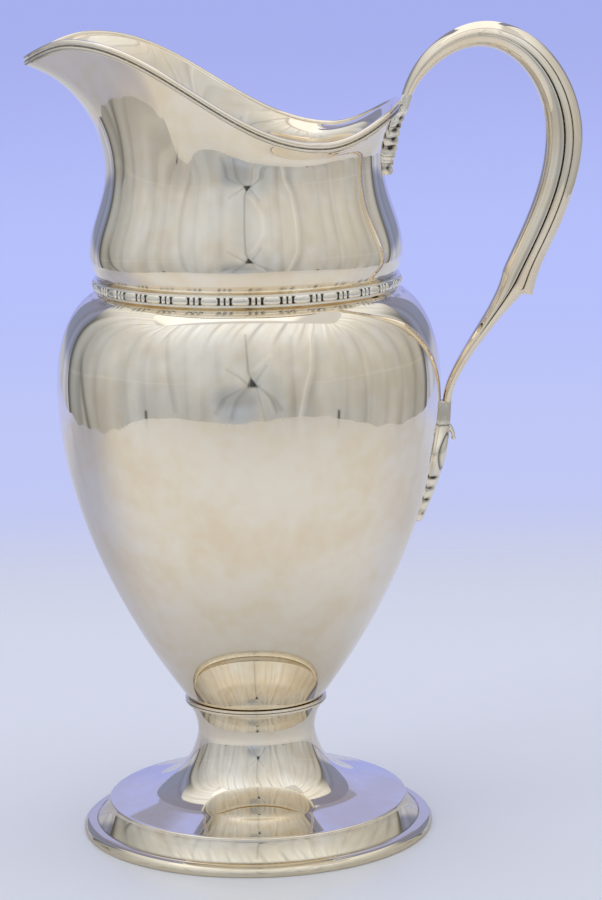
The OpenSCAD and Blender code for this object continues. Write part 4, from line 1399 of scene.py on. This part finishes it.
    def _table(self) -> None:
        """Pale table that fades into the backdrop behind the ewer and far out on the other sides.

        In reflections it shows painted colours: warm in front, darker and bluer on the left, with painted
        shade over all of it and a painted shadow around the foot.
        """
        run = np.linspace(-self.table_half, self.table_half, 41)
        x, y = np.meshgrid(run, run, indexing="ij")
        mesh = self._sheet_mesh("table", np.stack([x, y, 0 * x], -1))
        floor = place("table", mesh)
        made, g = node_material("table")
        spot = g.add("TexCoord").outputs["Object"]
        x, y, _ = g.add("SeparateXYZ", {0: spot}).outputs
        far = g.add("VectorMath", {0: spot}, operation="LENGTH").outputs["Value"]
        path = g.add("LightPath")
        ahead = g.span(y, 0.12, -0.12)
        sides = g.blend(g.span(x, 0.1, -0.3), (*self.mirrored_right_table, 1), (*self.mirrored_left_table, 1))
        # Painted reflection colours of the table: warm in front, darker and bluer on the left.
        mirrored = g.blend(ahead, sides, (*self.mirrored_front_table, 1))
        # Painted shade in reflections, 14 percent everywhere, and a painted shadow up to 27 percent around
        # the foot.
        mirrored = g.blend(g.span(far, 0.05, 0.16, (0.27, 0.14)), mirrored, (0, 0, 0, 1))
        colour = g.blend(path.outputs["Is Glossy Ray"], (*self.table, 1), mirrored)
        gone = g.math("MAXIMUM", g.span(y, 0.22, 0.55), g.span(far, 1.2, 1.8))
        lit = g.add("BsdfPrincipled", {
            "Base Color": colour, "Roughness": self.table_rough, "Specular IOR Level": self.table_gloss
        })
        clear = g.add("BsdfTransparent")
        both = g.add("MixShader", {0: gone, 1: lit.outputs[0], 2: clear.outputs[0]})
        g.add("OutputMaterial", {"Surface": both.outputs[0]})
        mesh.materials.append(made)

    def _drape(self) -> None:
        """White cloth around the camera side: a glowing sheet seen only as a reflection.

        Its foot follows a wavy line on the table and it leans in to an opening above the ewer.
        Its painted shade is a sum of bell-shaped folds that draw together at a knot below the lens.
        """
        angle = np.linspace(-self.screen_end, self.screen_end, 1264)[:, None]
        w = np.linspace(0, 1, 240)[None]
        foot = self.foot_r - self.foot_in * (np.abs(angle) / 105) ** 2.5
        foot = foot + self.foot_wave * np.cos(2 * np.pi * (angle - 33) / 80)
        wall = self.wall_r / np.sin(np.radians(np.clip(np.abs(angle), 60, 160)))
        foot = mix(foot, wall, step(np.abs(angle), 72, 96))
        foot = foot + 0.015 * np.abs(np.sin(np.pi * angle / 13)) + 0.01 * np.sin(angle / 2.3)
        foot = foot + 0.01 * np.arcsin(np.sin(0.29 * angle + 0.4))
        a = np.radians(angle)
        lean = w**self.lean_power
        x = mix(foot, self.drape_opening[0], lean) * np.sin(a)
        y = -mix(foot, self.drape_opening[1] + 0.4 * step(np.abs(angle), 90, 130), lean) * np.cos(a)
        z = self.drape_top * w + 0 * angle
        grid = np.stack([x, y, z], -1)
        self._glowing_sheet("drape", grid, self._cloth_shade(angle, z))

    def _cloth_shade(self, angle: Array, z: Array) -> Array:
        """Colour of the cloth at each place, and of the dim screen past its two edges.

        Args:
            angle: Degrees from the camera side.
            z: Heights in metres.

        Returns:
            Linear colours.
        """
        cloth = self._cloth_light(angle, z)[..., None] * np.array(self.cloth) * self._cloth_tint(angle, z)
        low, middle, high = np.array(self.screen)
        dim = mix(low, middle, step(z, 0.09, 0.2)[..., None])
        dim = mix(dim, high, step(z, 0.4, 0.8)[..., None])
        # Painted light and shade of three pleat lines on the dim screen.
        turn = np.abs(angle) + 3 * np.sin(5 * z)
        pleat_shading = 1 - 0.2 * bump(turn, 134, 2.0) - 0.12 * bump(turn, 144, 2.0) + 0.12 * bump(turn, 139, 2.4)
        reach = self.drape_end + self.drape_spread * step(z, 0.45, 0.85)
        past = step(np.abs(angle) - reach, -0.5, 0.5)[..., None]
        return mix(cloth, dim * pleat_shading[..., None], past)

    def _cloth_light(self, angle: Array, z: Array) -> Array:
        """Painted light and shade of the glowing cloth.

        It rises with height and falls towards the edges. The painted shading of folds, wrinkles and the
        gathers at the top, a lit band, the painted shade of the knot, two dark ticks at the hem and a painted
        shadow on the left come on top of that.

        Args:
            angle: Degrees from the camera side.
            z: Heights in metres.

        Returns:
            Values around 1.
        """
        light = mix(0.77, 1.0, step(z, 0.02, 0.48)) + 0.5 * step(z, 0.45, 1.15)
        # Painted shade on both sides of the cloth, low down.
        dusk = 0.33 * step(-angle, 84, 124) + 0.17 * step(angle, 88, 122)
        light = light * (1 - dusk * (1 - step(z, 0.35, 0.75)))
        for fold in self.folds:
            light = light + fold.shade(angle, z)
        light = light + self.wrinkle_light * self._wrinkles(angle, z) * (1 - step(z, 0.5, 0.9))
        side = np.abs(angle) - 45
        band = bump(z, 0.262 - np.where(angle > 0, 0.00115, 0.0016) * side, 0.006) * step(side, -22, 0)
        light = light + self.band_light * band
        gathers = self._gathers(angle + 6 * np.sin(3 * z)) * step(z, 0.62, 1.1)
        light = light * (1 - self.knot_shade * self._knot(angle, z)) + self.gather_light * gathers
        ticks = sum(bump(angle, at, 0.9) for at in self.tick_angles) * (1 - step(z, 0.035, 0.055))
        # Painted shade along the cloth's two ends, low down.
        ends = step(np.abs(angle), self.drape_end - 6, self.drape_end - 1) * (1 - step(z, 0.45, 0.85))
        shadow = bump(angle + 40 * (z - 0.05), -107, 2.2) * (1 - step(z, 0.12, 0.3))
        return light * (1 - 0.8 * ticks) * (1 - 0.7 * ends) * (1 - 0.5 * shadow)

    def _knot(self, angle: Array, z: Array) -> Array:
        """Mask of the painted shade in the wedge above the knot, whose two sides draw together upwards."""
        up = (z - self.knot_z) / self.knot_h
        past_left = step(angle, mix(0.8, 2.6, up), mix(2.6, 3.6, up))
        past_right = step(angle, mix(6.2, 3.2, up), mix(8.0, 4.2, up))
        return past_left * (1 - past_right) * step(up, -0.3, 0.1) * (1 - step(up, 0.7, 1.2))

    def _cloth_tint(self, angle: Array, z: Array) -> Array:
        """Tint of the cloth: warmer on the right, a cool painted shade in the hollow left of the seam and a
        cooler tint in the hollow right of it.
        """
        warm = step(angle, 35, 80)[..., None] * np.array(self.warmth)
        hanging = np.interp(z, *self.seam)
        round_off = np.hypot((angle + 5) / 16, (z - 0.12) / 0.18)
        left = (1 - step(round_off, 0.45, 1.1)) * (1 - step(angle, hanging - 0.8, hanging + 0.3))
        right = step(angle, hanging, hanging + 1) * (1 - step(angle, 20, 26)) * (1 - step(z, 0.3, 0.5))
        near_table = (1 - step(z, 0.06, 0.14))[..., None]
        # Cool painted shade in the hollow left of the seam, lighter near the table.
        cool = mix(*np.array(self.left_hollow_shade), near_table)
        tint = (1 + warm) * mix(1.0, cool, left[..., None])
        return tint * mix(1.0, np.array(self.right_tint), right[..., None])

    @staticmethod
    def _gathers(angle: Array) -> Array:
        """Painted light and shade of sharp gathers near the top: sines of three periods, narrowed to
        thin dark creases.
        """
        wave = np.sin(0.83 * angle) + 0.8 * np.sin(0.47 * angle + 1.3) + 0.6 * np.sin(1.37 * angle + 2.1)
        return 0.35 * wave - 0.9 * np.maximum(-wave - 0.6, 0)

    @staticmethod
    def _wrinkles(angle: Array, z: Array) -> Array:
        """Painted light and shade of crossing ripples of the cloth: a sum of sines of random slant,
        mostly upright.

        Args:
            angle: Degrees from the camera side.
            z: Heights in metres.

        Returns:
            Values around 0, with a spread of about 1.
        """
        rng = np.random.default_rng(5)
        count = 60
        upright = rng.uniform(0.1, 0.62, count) * rng.choice((-1, 1), count)
        level = rng.normal(0, 10, count)
        start = rng.uniform(0, 2 * np.pi, count)
        total = np.zeros(np.broadcast(angle, z).shape)
        for a, b, c in zip(upright, level, start):
            total += np.sin(a * angle + b * z + c) * np.sin(0.11 * a * angle - 0.3 * b * z + 2 * c)
        return total / math.sqrt(count / 4)

    def _ceiling(self) -> None:
        """Pale glowing ceiling with a bright strip, seen only as a reflection.

        The strip is a painted highlight in place of the panel lamp, which reflections do not see.
        """
        x, y = np.meshgrid(np.linspace(*self.ceiling_x, 89), np.linspace(*self.ceiling_y, 69), indexing="ij")
        left, right, front, back = self.glow_box
        strip = step(x, left - 0.05, left + 0.05) * (1 - step(x, right - 0.05, right + 0.05))
        strip = strip * step(y, front - 0.02, front + 0.02) * (1 - step(y, back, back + 0.08))
        shade = mix(*self.ceiling_light, strip)[..., None] * np.array(self.ceiling_tint)
        self._glowing_sheet("ceiling", np.stack([x, y, 0 * x + self.ceiling_z], -1), shade)

    def _glowing_sheet(self, name: str, grid: Array, shade: Array) -> None:
        """Builds a sheet that is seen only in reflections.

        Args:
            name: Name of the sheet.
            grid: Its points in metres.
            shade: Its linear colours.
        """
        mesh = self._sheet_mesh(name, grid)
        tint = mesh.attributes.new("shade", "FLOAT_COLOR", "POINT")
        opaque = np.concatenate([shade, np.ones_like(shade[..., :1])], -1)
        tint.data.foreach_set("color", opaque.astype(np.float32).ravel())
        made, g = node_material(name)
        seen = g.add("Attribute", attribute_name="shade").outputs["Color"]
        glow = g.add("Emission", {"Color": seen, "Strength": 1.0})
        g.add("OutputMaterial", {"Surface": glow.outputs[0]})
        mesh.materials.append(made)
        sheet = place(name, mesh)
        sheet.visible_camera = sheet.visible_diffuse = sheet.visible_shadow = False

    @staticmethod
    def _sheet_mesh(name: str, grid: Array) -> bpy.types.Mesh:
        """Open mesh of a grid of points in metres: one face between each four neighbours."""
        rows, cols = grid.shape[:2]
        number = np.arange(rows * cols).reshape(rows, cols)
        corners = [number[:-1, :-1], number[1:, :-1], number[1:, 1:], number[:-1, 1:]]
        mesh = bpy.data.meshes.new(name)
        mesh.from_pydata(grid.reshape(-1, 3).tolist(), [], np.stack(corners, -1).reshape(-1, 4).tolist())
        return mesh

    def _lamps(self) -> None:
        """One large soft panel above and a small fill from the left."""
        for name, where, size, watts in self.lamps:
            lamp = bpy.data.lights.new(name, "AREA")
            lamp.shape, lamp.size, lamp.size_y, lamp.energy = "RECTANGLE", size[0], size[1], watts
            made = place(name, lamp)
            made.location = where
            aim = Vector(self.lamp_aim) - Vector(where)
            made.rotation_euler = aim.to_track_quat("-Z", "Y").to_euler()
            made.visible_glossy = False

    def _camera(self) -> None:
        """Camera at the photograph's place: a long lens a metre away, looking down by about 11 degrees."""
        turn, yaw, pitch, roll = (math.radians(v) for v in self.camera_turns)
        lens = bpy.data.cameras.new("camera")
        lens.lens, lens.sensor_width, lens.clip_start = self.lens_mm, self.sensor_mm, 0.01
        made = place("camera", lens)
        x, y = self.camera_away * math.sin(turn), -self.camera_away * math.cos(turn)
        swing = Matrix.Rotation(turn + yaw, 4, "Z") @ Matrix.Rotation(math.pi / 2 + pitch, 4, "X")
        made.matrix_world = Matrix.Translation((x, y, self.camera_z)) @ swing @ Matrix.Rotation(roll, 4, "Z")
        bpy.context.scene.camera = made


def main() -> None:
    """Builds the ewer and its stage."""
    logging.basicConfig(level=logging.INFO, format="%(message)s")
    bpy.context.scene.view_settings.view_transform = "Standard"
    shop = Workshop()
    body = Body()
    neck = Neck(body)
    for part in (Pedestal(), body, neck, Handle(neck)):
        part.build(shop)
        LOG.info("%s built", type(part).__name__)
    Studio().build()


if __name__ == "__main__":
    main()
